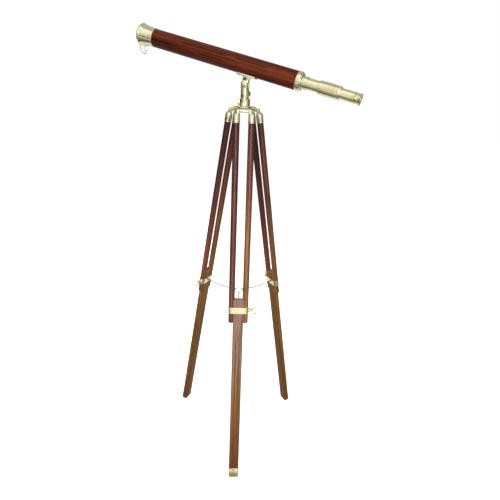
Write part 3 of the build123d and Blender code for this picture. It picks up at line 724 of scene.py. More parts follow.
def bake_modifiers(piece: Piece) -> None:
    """Turn a piece and its modifiers into one plain mesh."""
    depsgraph = bpy.context.evaluated_depsgraph_get()
    depsgraph.update()
    final = bpy.data.meshes.new_from_object(piece.evaluated_get(depsgraph))
    piece.modifiers.clear()
    piece.data = final


def cad_copy(
    node: str, name: str, finish: Finish, body: str, bevel: float = 0.0, crease: float = 30.0
) -> Piece:
    """Merge a copy of a CAD node's mesh into a smooth piece that stands for it.

    Args:
        node: the CAD node.
        name: the piece's name.
        finish: the finish of its whole surface.
        body: the CAD body that it rides on.
        bevel: width of softened edges in millimetres.
        crease: angle in degrees above which an edge stays sharp.

    Returns:
        The finished object.
    """
    work = bmesh.new()
    work.from_mesh(frame["nodes"][node].data)
    bmesh.ops.remove_doubles(work, verts=work.verts, dist=2e-6)
    bmesh.ops.dissolve_limit(work, angle_limit=math.radians(1.0), verts=work.verts, edges=work.edges)
    bmesh.ops.recalc_face_normals(work, faces=work.faces)
    data = bpy.data.meshes.new(name)
    work.to_mesh(data)
    work.free()
    piece = finish_piece(data, name, finish, body, bevel, crease)
    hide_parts(node)
    return piece


def grain_along(piece: Piece, axes: Axes, offset: float = 0.0) -> None:
    """Store a piece's own coordinates, in metres, as the grain that its wood follows.

    Args:
        piece: the wooden piece.
        axes: its frame, with z along the grain.
        offset: shift of the pattern, so that two pieces differ.
    """
    attribute = piece.data.attributes.new("grain", "FLOAT_VECTOR", "POINT")
    values = []
    for vertex in piece.data.vertices:
        away = vertex.co - axes.origin
        values.extend((away.dot(axes.x) + offset, away.dot(axes.y) - offset, away.dot(axes.z)))
    attribute.data.foreach_set("vector", values)


# ------------------------------------------------------------------ geometry-node repeats
class Repeater:
    """A Geometry Nodes tree that sets one template on many turned points."""

    def __init__(self, name: str) -> None:
        """Build the tree.

        Args:
            name: the tree's name.
        """
        tree = bpy.data.node_groups.new(name, "GeometryNodeTree")
        tree.interface.new_socket("Geometry", in_out="INPUT", socket_type="NodeSocketGeometry")
        template = tree.interface.new_socket("Template", in_out="INPUT", socket_type="NodeSocketObject")
        size = tree.interface.new_socket("Size", in_out="INPUT", socket_type="NodeSocketFloat")
        material = tree.interface.new_socket("Finish", in_out="INPUT", socket_type="NodeSocketMaterial")
        tree.interface.new_socket("Geometry", in_out="OUTPUT", socket_type="NodeSocketGeometry")
        self.template_socket = template.identifier
        self.size_socket = size.identifier
        self.finish_socket = material.identifier
        s = NodeSketch(tree)
        inp = s.add("NodeGroupInput")
        out = s.add("NodeGroupOutput")
        info = s.add("GeometryNodeObjectInfo", transform_space="ORIGINAL")
        turn = s.add("GeometryNodeInputNamedAttribute", data_type="FLOAT_VECTOR")
        turn.inputs["Name"].default_value = "turn"
        euler = s.add("FunctionNodeEulerToRotation")
        place = s.add("GeometryNodeInstanceOnPoints")
        real = s.add("GeometryNodeRealizeInstances")
        dress = s.add("GeometryNodeSetMaterial")
        s.feed(info.inputs["Object"], inp.outputs["Template"])
        s.feed(euler.inputs[0], turn.outputs[0])
        s.feed(place.inputs["Points"], inp.outputs["Geometry"])
        s.feed(place.inputs["Instance"], info.outputs["Geometry"])
        s.feed(place.inputs["Rotation"], euler.outputs[0])
        s.feed(place.inputs["Scale"], inp.outputs["Size"])
        s.feed(real.inputs[0], place.outputs[0])
        s.feed(dress.inputs["Geometry"], real.outputs[0])
        s.feed(dress.inputs["Material"], inp.outputs["Finish"])
        s.feed(out.inputs[0], dress.outputs[0])
        self.tree = tree

    def run(
        self,
        name: str,
        places: Sequence[Matrix],
        template: Piece,
        finish: Finish,
        body: str,
        size: float = 1.0,
        crease: float = 40.0,
    ) -> Piece:
        """Set the template on every place and make one plain mesh.

        Args:
            name: the piece's name.
            places: matrices in the row frame.
            template: the object to repeat.
            finish: the finish of the result.
            body: the CAD body that it rides on.
            size: scale of the template.
            crease: angle in degrees above which an edge stays sharp.

        Returns:
            The finished object.
        """
        data = bpy.data.meshes.new(name)
        data.from_pydata([tuple(m.translation) for m in places], [], [])
        turn = data.attributes.new("turn", "FLOAT_VECTOR", "POINT")
        turn.data.foreach_set("vector", [angle for m in places for angle in m.to_euler()])
        piece = bpy.data.objects.new(name, data)
        bpy.context.scene.collection.objects.link(piece)
        modifier = piece.modifiers.new("repeat", "NODES")
        modifier.node_group = self.tree
        modifier[self.template_socket] = template
        modifier[self.size_socket] = size
        modifier[self.finish_socket] = Finishes.get(finish)
        bake_modifiers(piece)
        smooth(piece.data, crease)
        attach(piece, body)
        return piece


def template_object(shape: Shape, name: str) -> Piece:
    """Make a loose object to repeat, kept out of the scene."""
    return bpy.data.objects.new(name, shape.closed(name))


HOME = Axes(Vector((0, 0, 0)), Vector((1, 0, 0)), Vector((0, 1, 0)), Vector((0, 0, 1)))


# ------------------------------------------------------------------ fittings used on many pieces
def arc(
    centre: tuple[float, float], radius: float, start: float, end: float, steps: int = 8
) -> list[tuple[float, float]]:
    """Points of an arc.

    Args:
        centre: where the arc turns about.
        radius: the arc's radius.
        start: first angle in degrees.
        end: last angle in degrees.
        steps: spaces between the points.

    Returns:
        One point more than the steps.
    """
    points = []
    for step in range(steps + 1):
        angle = math.radians(start + (end - start) * step / steps)
        points.append((centre[0] + radius * math.cos(angle), centre[1] + radius * math.sin(angle)))
    return points


@dataclass(frozen=True)
class LinkSize:
    """Half length, end radius and wire radius of an oval link, in millimetres."""

    half: float
    end_radius: float
    wire: float


@dataclass
class Fittings:
    """Templates and repeaters that the whole object shares."""

    slot_width: float = 0.16
    slot_depth: float = 0.20
    head_steps: int = 24
    spreader_link: LinkSize = LinkSize(3.78, 2.3, 0.75)
    keeper_link: LinkSize = LinkSize(2.15, 1.25, 0.45)

    def __post_init__(self) -> None:
        """Build the templates once."""
        self.repeater = Repeater("repeat_on_points")
        self.screw = self._slotted_head()
        self.link = self._chain_link("spreader_link", self.spreader_link)
        self.fine_link = self._chain_link("keeper_link", self.keeper_link)

    def _slotted_head(self) -> Piece:
        """Domed screw head of unit radius with a straight slot, seated on z = 0."""
        rows = ((1.0, 0.0), (1.0, 0.14), (0.93, 0.26), (0.78, 0.38), (0.55, 0.47), (0.28, 0.52))
        steps = self.head_steps
        mesh = Shape()
        grid = []
        for radius, height in rows:
            ring = []
            for step in range(steps):
                angle = TURN * step / steps
                x, y = radius * math.cos(angle), radius * math.sin(angle)
                in_slot = abs(y) < self.slot_width and height > self.slot_depth
                lift = height - (self.slot_depth if in_slot else 0)
                ring.append(mesh.mesh.verts.new((x * MM, y * MM, lift * MM)))
            grid.append(ring)
        for first, second in zip(grid, grid[1:]):
            mesh.bridge(first, second, steps)
        centre = mesh.mesh.verts.new((0, 0, (0.53 - self.slot_depth) * MM))
        base = mesh.mesh.verts.new((0, 0, 0))
        mesh.bridge(grid[-1], [centre], steps)
        mesh.bridge([base], grid[0], steps)
        return template_object(mesh, "slotted_head")

    @staticmethod
    def _chain_link(name: str, size: LinkSize) -> Piece:
        """Closed oval link along x, lying flat."""
        straight = size.half - size.end_radius
        line = []
        for side, turn in ((1, -90), (-1, 90)):
            for x, y in arc((side * straight, 0), size.end_radius, turn, turn + 180, 8):
                line.append(Vector((x, y, 0)))
        sections = []
        for index, point in enumerate(line):
            ahead = (line[(index + 1) % len(line)] - line[index - 1]).normalized()
            axes = Axes.along(point * MM, ahead, Vector((0, 0, 1)))
            sections.append((axes, arc((0, 0), size.wire, 0, 315, 7)))
        return template_object(Shape().sweep(sections, closed=True), name)

    def screws(self, name: str, places: Iterable[Axes], radius: float, body: str) -> Piece:
        """Slotted screw heads on several seats, each with its slot at its own angle.

        Args:
            name: the piece's name.
            places: the seats, each with z out of the surface.
            radius: radius of a head in millimetres.
            body: the CAD body that the heads ride on.

        Returns:
            One piece with all the heads.
        """
        turned = []
        for index, axes in enumerate(places):
            turned.append(axes.matrix() @ Matrix.Rotation(0.7 + 1.9 * index, 4, "Z"))
        return self.repeater.run(name, turned, self.screw, Finishes.BRASS, body, radius, 45.0)


def knurl(shape: Shape, axes: Axes, radius: float, low: float, high: float) -> Shape:
    """Add straight knurling round a knob: a toothed sleeve between two heights.

    Args:
        shape: the shape that gets the sleeve.
        axes: the knob's frame.
        radius: radius at the foot of the teeth.
        low: where the sleeve starts along z.
        high: where it ends.

    Returns:
        The shape.
    """
    teeth, depth = 36, 0.35
    outline = []
    for step in range(teeth * 4):
        angle = TURN * step / (teeth * 4)
        reach = radius + (depth if step % 4 in (1, 2) else 0.0)
        outline.append((reach * math.cos(angle), reach * math.sin(angle)))
    return shape.prism(axes.shifted(z=low), outline, high - low)


# ------------------------------------------------------------------ telescope
@dataclass
class Telescope:
    """Barrel, bell, collar, draw tube and eyepiece, with sizes in millimetres along the sight line."""

    fittings: Fittings
    rise: float = 49.8
    wood_radius: float = 26.4
    wood_start: float = -327.5
    wood_end: float = 154.6
    liner_inner: float = 21.5
    liner_outer: float = 22.5
    flank: float = 13.0
    segments: int = 160

    def __post_init__(self) -> None:
        """Find the sight line from the joints."""
        pivot = Vector(JOINTS["altitude_tilt"]["pos_m"])
        self.near = Vector(JOINTS["altitude_tilt"]["axis"]).normalized()
        self.sight = Vector(JOINTS["draw_tube_slide"]["axis"]).normalized()
        up = self.near.cross(self.sight)
        self.saddle_axes = Axes(pivot, self.near, up, self.sight)
        self.tube = Axes(pivot + up * self.rise * MM, self.near, up, self.sight)

    def turned(
        self, name: str, node: str, profile: Profile, finish: Finish, body: str, bevel: float = 0.0
    ) -> Piece:
        """Lathe a round piece on the sight line and let it stand for its CAD node.

        Args:
            name: the piece's name.
            node: the CAD node.
            profile: its section, as for lathe.
            finish: its finish.
            body: the CAD body that it rides on.
            bevel: width of softened edges in millimetres.

        Returns:
            The finished object.
        """
        piece = Shape().lathe(self.tube, profile, self.segments).piece(name, finish, body, bevel, 22.0)
        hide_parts(node)
        return piece

    def build(self) -> Iterator[Piece]:
        """Make every piece, one after another."""
        yield from self.barrel()
        yield from self.bell()
        yield self.cap()
        yield from self.collar()
        yield from self.draw()
        yield from self.eyepiece()
        yield from self.glass()
        yield from self.saddle()

    def barrel(self) -> Iterator[Piece]:
        """Wooden barrel with softened ends, and its blackened liner."""
        outer, inner = self.wood_radius, self.liner_outer
        profile = [(self.wood_start, inner)]
        profile += arc((self.wood_start + 0.5, outer - 0.5), 0.5, 180, 90, 4)
        rows = 24
        for row in range(1, rows):
            profile.append((self.wood_start + (self.wood_end - self.wood_start) * row / rows, outer))
        profile += arc((self.wood_end - 0.5, outer - 0.5), 0.5, 90, 0, 4)
        profile.append((self.wood_end, inner))
        wood = self.turned("barrel_wood_turned", "barrel_wood", profile, Finishes.BARREL, Body.SCOPE)
        grain_along(wood, self.tube, 0.013)
        yield wood
        bore, skin = self.liner_inner, self.liner_outer
        liner = [(-345.0, bore), (-345.0, skin), (164.0, skin), (164.0, bore)]
        yield self.turned("barrel_liner_tube", "barrel_liner", liner, Finishes.LINER, Body.SCOPE)

    def bell(self) -> Iterator[Piece]:
        """Flared objective bell with a rolled rim and a beaded seat against the wood."""
        profile = [(self.wood_start, self.liner_outer), (self.wood_start, 26.7)]
        profile += arc((-328.4, 26.7), 0.75, 0, 180, 8)
        profile += [(-329.6, 26.75), (-330.4, 26.9), (-336.0, 27.0), (-341.0, 27.2), (-346.0, 27.55)]
        profile += [(-351.0, 28.0), (-356.0, 28.45), (-361.0, 28.95), (-365.0, 29.4), (-368.5, 29.9)]
        profile += [(-371.0, 30.35), (-372.4, 30.75)]
        profile += arc((-374.9, 30.3), 2.05, 20, 180, 14)
        profile += [(-377.1, 29.2), (-377.15, 27.6), (-366.0, 27.6), (-364.0, 26.2), (-349.0, 23.6)]
        profile += [(-347.0, 20.8), (-345.0, 20.8), (-345.0, self.liner_outer)]
        yield self.turned("objective_bell_spun", "objective_bell", profile, Finishes.BRASS, Body.SCOPE)
        cell = [(-344.8, 19.0), (-344.8, 21.5), (-333.0, 21.5), (-333.0, 20.4), (-342.4, 20.4)]
        cell += [(-342.4, 19.0)]
        yield self.turned("objective_cell_turned", "objective_cell", cell, Finishes.LINER, Body.SCOPE)
        ring = [(-338.4, 19.0), (-338.4, 20.4), (-335.0, 20.4), (-335.0, 19.0)]
        yield self.turned("lens_ring_turned", "lens_ring", ring, Finishes.LINER, Body.SCOPE, 0.15)

    def cap(self) -> Piece:
        """Slip-in dust cap with stepped rings pressed in its face, and its eye."""
        profile = [(-380.0, 0.0), (-380.0, 11.0), (-379.7, 11.4), (-379.7, 12.2), (-380.0, 12.6)]
        profile += [(-380.0, 23.0), (-379.6, 23.5), (-379.6, 24.4), (-380.0, 24.9), (-380.0, 28.9)]
        profile += arc((-378.9, 29.3), 1.1, 180, 90, 5)
        profile += [(-377.35, 30.4), (-377.35, 27.5), (-368.0, 27.5), (-367.5, 27.1), (-367.5, 25.9)]
        profile += [(-378.2, 25.9), (-378.2, 0.0)]
        shape = Shape().lathe(self.tube, profile, self.segments)
        eye = Axes(self.tube.at(0, -25.5, -382.6), self.tube.x, self.tube.z, -self.tube.y)
        shape.ring(eye, 2.4, 0.7, 28, 10)
        piece = shape.piece("dust_cap_spun", Finishes.BRASS, Body.CAP, 0.0, 30.0)
        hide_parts("dust_cap")
        return piece

    def collar(self) -> Iterator[Piece]:
        """End collar with its stepped shoulder and the draw tube's guide neck."""
        profile = [(self.wood_end, self.liner_outer), (self.wood_end, 26.7)]
        profile += arc((155.3, 26.7), 0.7, 180, 0, 8)
        profile += [(156.2, 26.6), (156.6, 26.85), (164.6, 26.9)]
        profile += arc((165.0, 24.6), 2.3, 82, 8, 6)
        profile += [(167.6, 24.6), (168.6, 24.4), (169.8, 23.6), (170.7, 22.4), (171.2, 21.0), (171.3, 17.9)]
        profile += [(172.0, 17.6), (184.2, 17.6), (184.5, 17.2), (184.9, 17.2), (185.2, 17.6), (187.2, 17.5)]
        profile += [(188.0, 16.8), (188.0, 16.1), (164.0, 16.1)]
        profile += [(164.0, self.liner_outer)]
        yield self.turned("end_collar_turned", "end_collar", profile, Finishes.BRASS, Body.SCOPE)
        seats = []
        for turn in (0, 120, 240):
            angle = math.radians(turn)
            way = self.tube.x * math.cos(angle) + self.tube.y * math.sin(angle)
            seats.append(Axes.along(self.tube.at(0, 0, 160.0) + way * 26.8 * MM, way, self.tube.z))
        piece = self.fittings.screws("collar_screw_heads", seats, 2.3, Body.SCOPE)
        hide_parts("collar_screws")
        yield piece

    def draw(self) -> Iterator[Piece]:
        """Draw tube, its inner stop and the grooved focus sleeve."""
        tube = [(70.0, 15.3), (70.0, 16.0), (230.0, 16.0), (230.0, 15.3)]
        yield self.turned("draw_tube_drawn", "draw_tube", tube, Finishes.BRASS, Body.DRAW)
        stop = [(70.0, 16.0), (70.0, 21.4), (76.0, 21.4), (76.0, 16.0)]
        yield self.turned("draw_stop_turned", "draw_tube_stop", stop, Finishes.LINER, Body.DRAW, 0.2)
        profile = [(222.0, 16.0), (222.0, 17.6)]
        profile += arc((222.9, 18.1), 0.9, 210, 90, 6)
        profile += [(232.6, 19.0), (233.1, 18.4), (234.6, 18.4), (235.0, 19.2), (264.0, 19.25)]
        profile += [(264.5, 18.5), (266.4, 18.5), (266.9, 19.25), (269.2, 19.25), (269.5, 18.9)]
        profile += [(269.9, 18.9), (270.2, 19.25), (276.6, 19.25), (277.0, 18.7), (284.6, 18.6)]
        profile += [(285.6, 18.2), (286.5, 17.3), (286.5, 15.25), (230.0, 15.25), (230.0, 16.0)]
        yield self.turned("focus_sleeve_turned", "focus_sleeve", profile, Finishes.BRASS, Body.DRAW)

    def eyepiece(self) -> Iterator[Piece]:
        """Eyepiece tube, bead and flared eyecup."""
        tube = [(240.0, 14.2), (240.0, 15.2), (327.0, 15.2), (327.0, 14.2)]
        yield self.turned("eyepiece_tube_drawn", "eyepiece_tube", tube, Finishes.BRASS, Body.EYEPIECE)
        profile = [(318.0, 12.6), (318.0, 14.2), (327.0, 14.2), (327.0, 15.3)]
        profile += arc((328.7, 15.1), 1.35, 165, 15, 10)
        profile += [(330.4, 14.9), (331.6, 14.35), (333.0, 14.2), (335.4, 14.25), (338.0, 14.55)]
        profile += [(340.6, 15.1), (342.6, 15.9), (343.6, 16.3)]
        profile += arc((344.9, 15.9), 1.2, 150, -20, 10)
        profile += [(344.6, 14.2), (342.4, 11.2), (339.6, 8.0), (338.0, 6.0), (334.0, 6.0), (334.0, 12.6)]
        yield self.turned("eye_cup_turned", "eye_cup", profile, Finishes.BRASS, Body.EYEPIECE)

    @staticmethod
    def lens_profile(centre: float, radius: float, edge: float, bulge: float) -> Profile:
        """Section of a double-curved lens with a flat seat.

        Args:
            centre: place of its middle along the sight line.
            radius: radius of its edge.
            edge: thickness at the edge.
            bulge: how far each face stands out from the edge.

        Returns:
            The closed section, as for lathe.
        """
        clear = radius - 1.5
        curve = (clear**2 + bulge**2) / (2 * bulge)
        half = []
        for step in range(9):
            reach = clear * step / 8
            half.append((edge / 2 + bulge - curve + math.sqrt(curve**2 - reach**2), reach))
        back = [(centre + along, reach) for along, reach in half] + [(centre + edge / 2, radius)]
        front = [(centre - edge / 2, radius)] + [(centre - along, reach) for along, reach in reversed(half)]
        return back + front

    def glass(self) -> Iterator[Piece]:
        """All four lenses."""
        lenses = (
            ("objective_lens", -340.4, 20.4, 4.0, 1.8, Body.SCOPE),
            ("erector_lens", 76.0, 15.3, 3.0, 1.6, Body.DRAW),
            ("field_lens", 247.0, 14.2, 2.6, 1.4, Body.EYEPIECE),
            ("eye_lens", 329.0, 12.6, 3.0, 1.4, Body.EYEPIECE),
        )
        for node, centre, radius, edge, bulge, body in lenses:
            profile = self.lens_profile(centre, radius - 0.02, edge, bulge)
            yield self.turned(f"{node}_ground", node, profile, Finishes.GLASS, body)

    def saddle(self) -> Iterator[Piece]:
        """Saddle plate on its tongue, with the screws that hold the barrel."""
        axes = self.saddle_axes
        flank = self.flank
        seat = self.wood_radius + 0.02
        section = [(-flank, 20.4), (flank, 20.4), (flank, 26.0), (flank - 0.6, 26.8)]
        gap = math.degrees(math.asin((flank - 0.6) / seat))
        section += arc((0, self.rise), seat, gap - 90, -gap - 90, 16)
        section += [(-flank + 0.6, 26.8), (-flank, 26.0)]
        plate = Shape().prism(axes.shifted(z=-30.0), section, 60.0)
        side = Axes(axes.origin, axes.z, axes.y, axes.z.cross(axes.y))
        tongue = arc((0, 0), 9.0, 180, 360, 20)
        tongue += [(9.15, 6.0), (9.6, 12.0), (10.8, 17.5), (13.0, 20.6)]
        tongue += [(-13.0, 20.6), (-10.8, 17.5), (-9.6, 12.0), (-9.15, 6.0)]
        plate.prism(side.shifted(z=-5.9), tongue, 11.8)
        piece = plate.piece("saddle_cast", Finishes.BRASS, Body.SCOPE, 0.5, 40.0)
        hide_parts("saddle")
        yield piece
        seats = []
        for along in (-22.0, 22.0):
            for out in (-8.0, 8.0):
                seats.append(Axes.along(axes.at(out, 20.4, along), -axes.y, axes.z))
        screws = self.fittings.screws("saddle_screw_heads", seats, 3.2, Body.SCOPE)
        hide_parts("saddle_screws")
        yield screws


# ------------------------------------------------------------------ cap keeper
@dataclass
class CapKeeper:
    """Fine chain between the dust cap's eye and a split ring under the bell."""

    fittings: Fittings
    scope: Telescope
    links: int = 16
    ring_radius: float = 6.8
    eye_radius: float = 2.4

    def build(self) -> Iterator[Piece]:
        """Make the eyelet, the split ring and the chain."""
        tube = self.scope.tube
        heading = Vector((tube.z.x, tube.z.y, 0)).normalized()
        down = -tube.y
        stem = tube.at(0, -28.6, -361.0)
        eyelet_axes = Axes.along(stem, down, tube.x)
        foot = [(-0.2, 0), (-0.2, 2.0), (0.5, 1.9), (0.9, 1.0), (0.9, 0)]
        shape = Shape().lathe(eyelet_axes, foot, 24)
        loop = Axes.along(stem + down * 2.55 * MM, heading, tube.x)
        shape.ring(loop, 2.2, 0.6, 28, 10)
        piece = shape.piece("bell_eyelet_loop", Finishes.BRASS, Body.SCOPE)
        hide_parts("bell_eyelet")
        yield piece
        low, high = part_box("split_ring")
        centre = (low + high) / 2
        ring_axes = Axes.along(centre, tube.x, heading)
        ring = Shape()
        for lift in (-0.34, 0.34):
            ring.ring(ring_axes.shifted(z=lift), self.ring_radius, 0.36, 48, 8)
        split = ring.piece("split_ring_coil", Finishes.STEEL, Body.SCOPE)
        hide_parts("split_ring")
        yield split
        yield self.chain(tube, heading, centre)

    def chain(self, tube: Axes, heading: Vector, ring_centre: Vector) -> Piece:
        """Hang the links from the cap's eye to the ring in a narrow loop.

        Args:
            tube: the sight line's frame.
            heading: level direction towards the eyepiece.
            ring_centre: the split ring's centre.

        Returns:
            The chain.
        """
        up = Vector((0, 0, 1))
        start = tube.at(0, -25.5, -382.6) - tube.z * self.eye_radius * MM + up * 0.75 * MM
        end = ring_centre + up * (0.75 - self.ring_radius) * MM
        knots = [start]
        for drop, along in ((14.5, 1.2), (26.5, 6.0), (31.4, 12.5)):
            knots.append(start - up * drop * MM + heading * along * MM)
        knots += [end - up * 9.5 * MM - heading * 3.0 * MM, end]
        stops = even_stops(knots, self.links)
        places = link_places(stops, tube.x, 0)
        chain = self.fittings.repeater.run(
            "cap_keeper_chain", places, self.fittings.fine_link, Finishes.STEEL, Body.SCOPE
        )
        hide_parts("cap_chain")
        return chain


def even_stops(knots: Sequence[Vector], count: int, fine: int = 40) -> list[Vector]:
    """Points at even distances on a smooth line through knots.

    Args:
        knots: points that the line passes through.
        count: spaces between the points.
        fine: steps that the line is measured in between two knots.

    Returns:
        One point more than the count.
    """
    padded = [knots[0] * 2 - knots[1], *knots, knots[-1] * 2 - knots[-2]]
    line = []
    for a, b, c, d in zip(padded, padded[1:], padded[2:], padded[3:]):
        for step in range(fine):
            t = step / fine
            bend, twist = a * 2 - b * 5 + c * 4 - d, b * 3 - a - c * 3 + d
            line.append((b * 2 + (c - a) * t + bend * t * t + twist * t**3) / 2)
    line.append(knots[-1])
    lengths = [0.0]
    for first, second in zip(line, line[1:]):
        lengths.append(lengths[-1] + (second - first).length)
    stops, at = [], 0
    for index in range(count + 1):
        want = lengths[-1] * index / count
        while at < len(line) - 2 and lengths[at + 1] < want:
            at += 1
        share = (want - lengths[at]) / max(lengths[at + 1] - lengths[at], 1e-12)
        stops.append(line[at].lerp(line[at + 1], min(share, 1.0)))
    return stops


def link_places(stops: Sequence[Vector], flat_normal: Vector, first_turn: int) -> list[Matrix]:
    """Places for links between stops, each turned a quarter from the last.

    Args:
        stops: points where one link meets the next.
        flat_normal: direction across the plane that the chain hangs in.
        first_turn: 0 or 1, which way the first link lies.

    Returns:
        The links' places, in the row frame.
    """
    places = []
    for index, (start, end) in enumerate(zip(stops, stops[1:])):
        along = (end - start).normalized()
        across = flat_normal.cross(along).normalized()
        normal = across if (index + first_turn) % 2 else along.cross(across).normalized()
        middle = (start + end) / 2
        places.append(Axes(middle, along, normal.cross(along), normal).matrix())
    return places


# ------------------------------------------------------------------ head
@dataclass
class SwivelHead:
    """Post, yoke, pivot and thumb screw above the hub."""

    fittings: Fittings
    scope: Telescope
    post_radius: float = 12.8
    post_bottom: float = 1312.8
    floor: float = 1343.5
    cheek_radius: float = 10.0
    cheek_inner: float = 6.1
    cheek_outer: float = 11.2
    socket_radius: float = 8.05
    socket_top: float = 1338.5

    def build(self) -> Iterator[Piece]:
        """Make every piece, one after another."""
        yield self.yoke()
        yield from self.pivot()
        yield self.thumb_screw()

    def yoke(self) -> Piece:
        """Turned post with two cheeks."""
        low, high, radius = self.post_bottom, self.floor, self.post_radius
        groove = radius - 0.5
        profile = [(low, self.socket_radius), (low, radius - 0.6), (low + 0.6, radius), (low + 3.0, radius)]
        profile += [(low + 3.4, groove), (low + 4.0, groove), (low + 4.4, radius), (high - 4.0, radius)]
        profile += [(high - 3.6, groove), (high - 3.0, groove), (high - 2.6, radius), (high - 0.8, radius)]
        profile += [(high, radius - 0.9), (high, 0.0), (self.socket_top, 0.0)]
        profile += [(self.socket_top, self.socket_radius)]
        shape = Shape().lathe(HOME, profile, 96)
        pivot = self.scope.saddle_axes.origin
        near = self.scope.near
        flat = Vector((-near.y, near.x, 0))
        cheek = Axes(pivot, -flat, Vector((0, 0, 1)), near)
        base = (self.floor - 0.4) - pivot.z / MM
        outline = [(-self.cheek_radius, base)]
        outline += arc((0, 0), self.cheek_radius, 180, 0, 28)
        outline += [(self.cheek_radius, base)]
        for start in (self.cheek_inner, -self.cheek_outer):
            shape.prism(cheek.shifted(z=start), outline, self.cheek_outer - self.cheek_inner)
        piece = shape.piece("yoke_cast", Finishes.BRASS, Body.HEAD, 0.5, 38.0, 3)
        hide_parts("yoke")
        return piece

    def pivot(self) -> Iterator[Piece]:
        """Pivot bolt with its hexagon head, and the knurled knob on the near side."""
        near = self.scope.near
        axes = Axes.along(self.scope.saddle_axes.origin, near, Vector((0, 0, 1)))
        shape = Shape().lathe(axes, [(-11.2, 0), (-11.2, 3.0), (16.4, 3.0), (16.4, 0)], 32)
        hexagon = [(6.4 * math.cos(TURN * i / 6), 6.4 * math.sin(TURN * i / 6)) for i in range(6)]
        shape.prism(axes.shifted(z=-15.2), hexagon, 4.0)
        bolt = shape.piece("pivot_bolt_turned", Finishes.BRASS, Body.HEAD, 0.3)
        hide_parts("pivot_bolt")
        yield bolt
        knob = Shape()
        knurl(knob, axes, 7.6, 12.2, 16.4)
        profile = [(11.4, 0.0), (11.4, 6.8), (12.2, 7.5), (16.4, 7.5), (17.4, 6.6), (18.1, 5.2)]
        profile += [(18.5, 3.0), (18.6, 0.0)]
        knob.lathe(axes, profile, 72)
        piece = knob.piece("pivot_knob_turned", Finishes.BRASS, Body.KNOB, 0.0, 28.0)
        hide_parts("pivot_knob")
        yield piece

    def thumb_screw(self) -> Piece:
        """Thumb screw that locks the swivel on its spindle."""
        joint = JOINTS["azimuth_screw_turn"]
        way = Vector(joint["axis"]).normalized()
        centre = Vector((0, 0, joint["pos_m"][2]))
        axes = Axes.along(centre, way, Vector((0, 0, 1)))
        reach = self.post_radius
        shape = Shape().lathe(axes, [(8.1, 0), (8.1, 2.5), (reach + 1.0, 2.5), (reach + 1.0, 0)], 24)
        knurl(shape, axes, 7.6, reach + 1.3, reach + 3.8)
        top = reach + 5.2
        profile = [(reach + 0.6, 0), (reach + 0.6, 7.0), (reach + 1.3, 7.5), (reach + 3.8, 7.5)]
        profile += [(top - 0.6, 6.4), (top - 0.1, 4.4), (top, 2.0), (top, 0.0)]
        shape.lathe(axes, profile, 72)
        piece = shape.piece("azimuth_screw_turned", Finishes.BRASS, Body.HEAD_SCREW, 0.0, 28.0)
        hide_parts("azimuth_screw")
        return piece


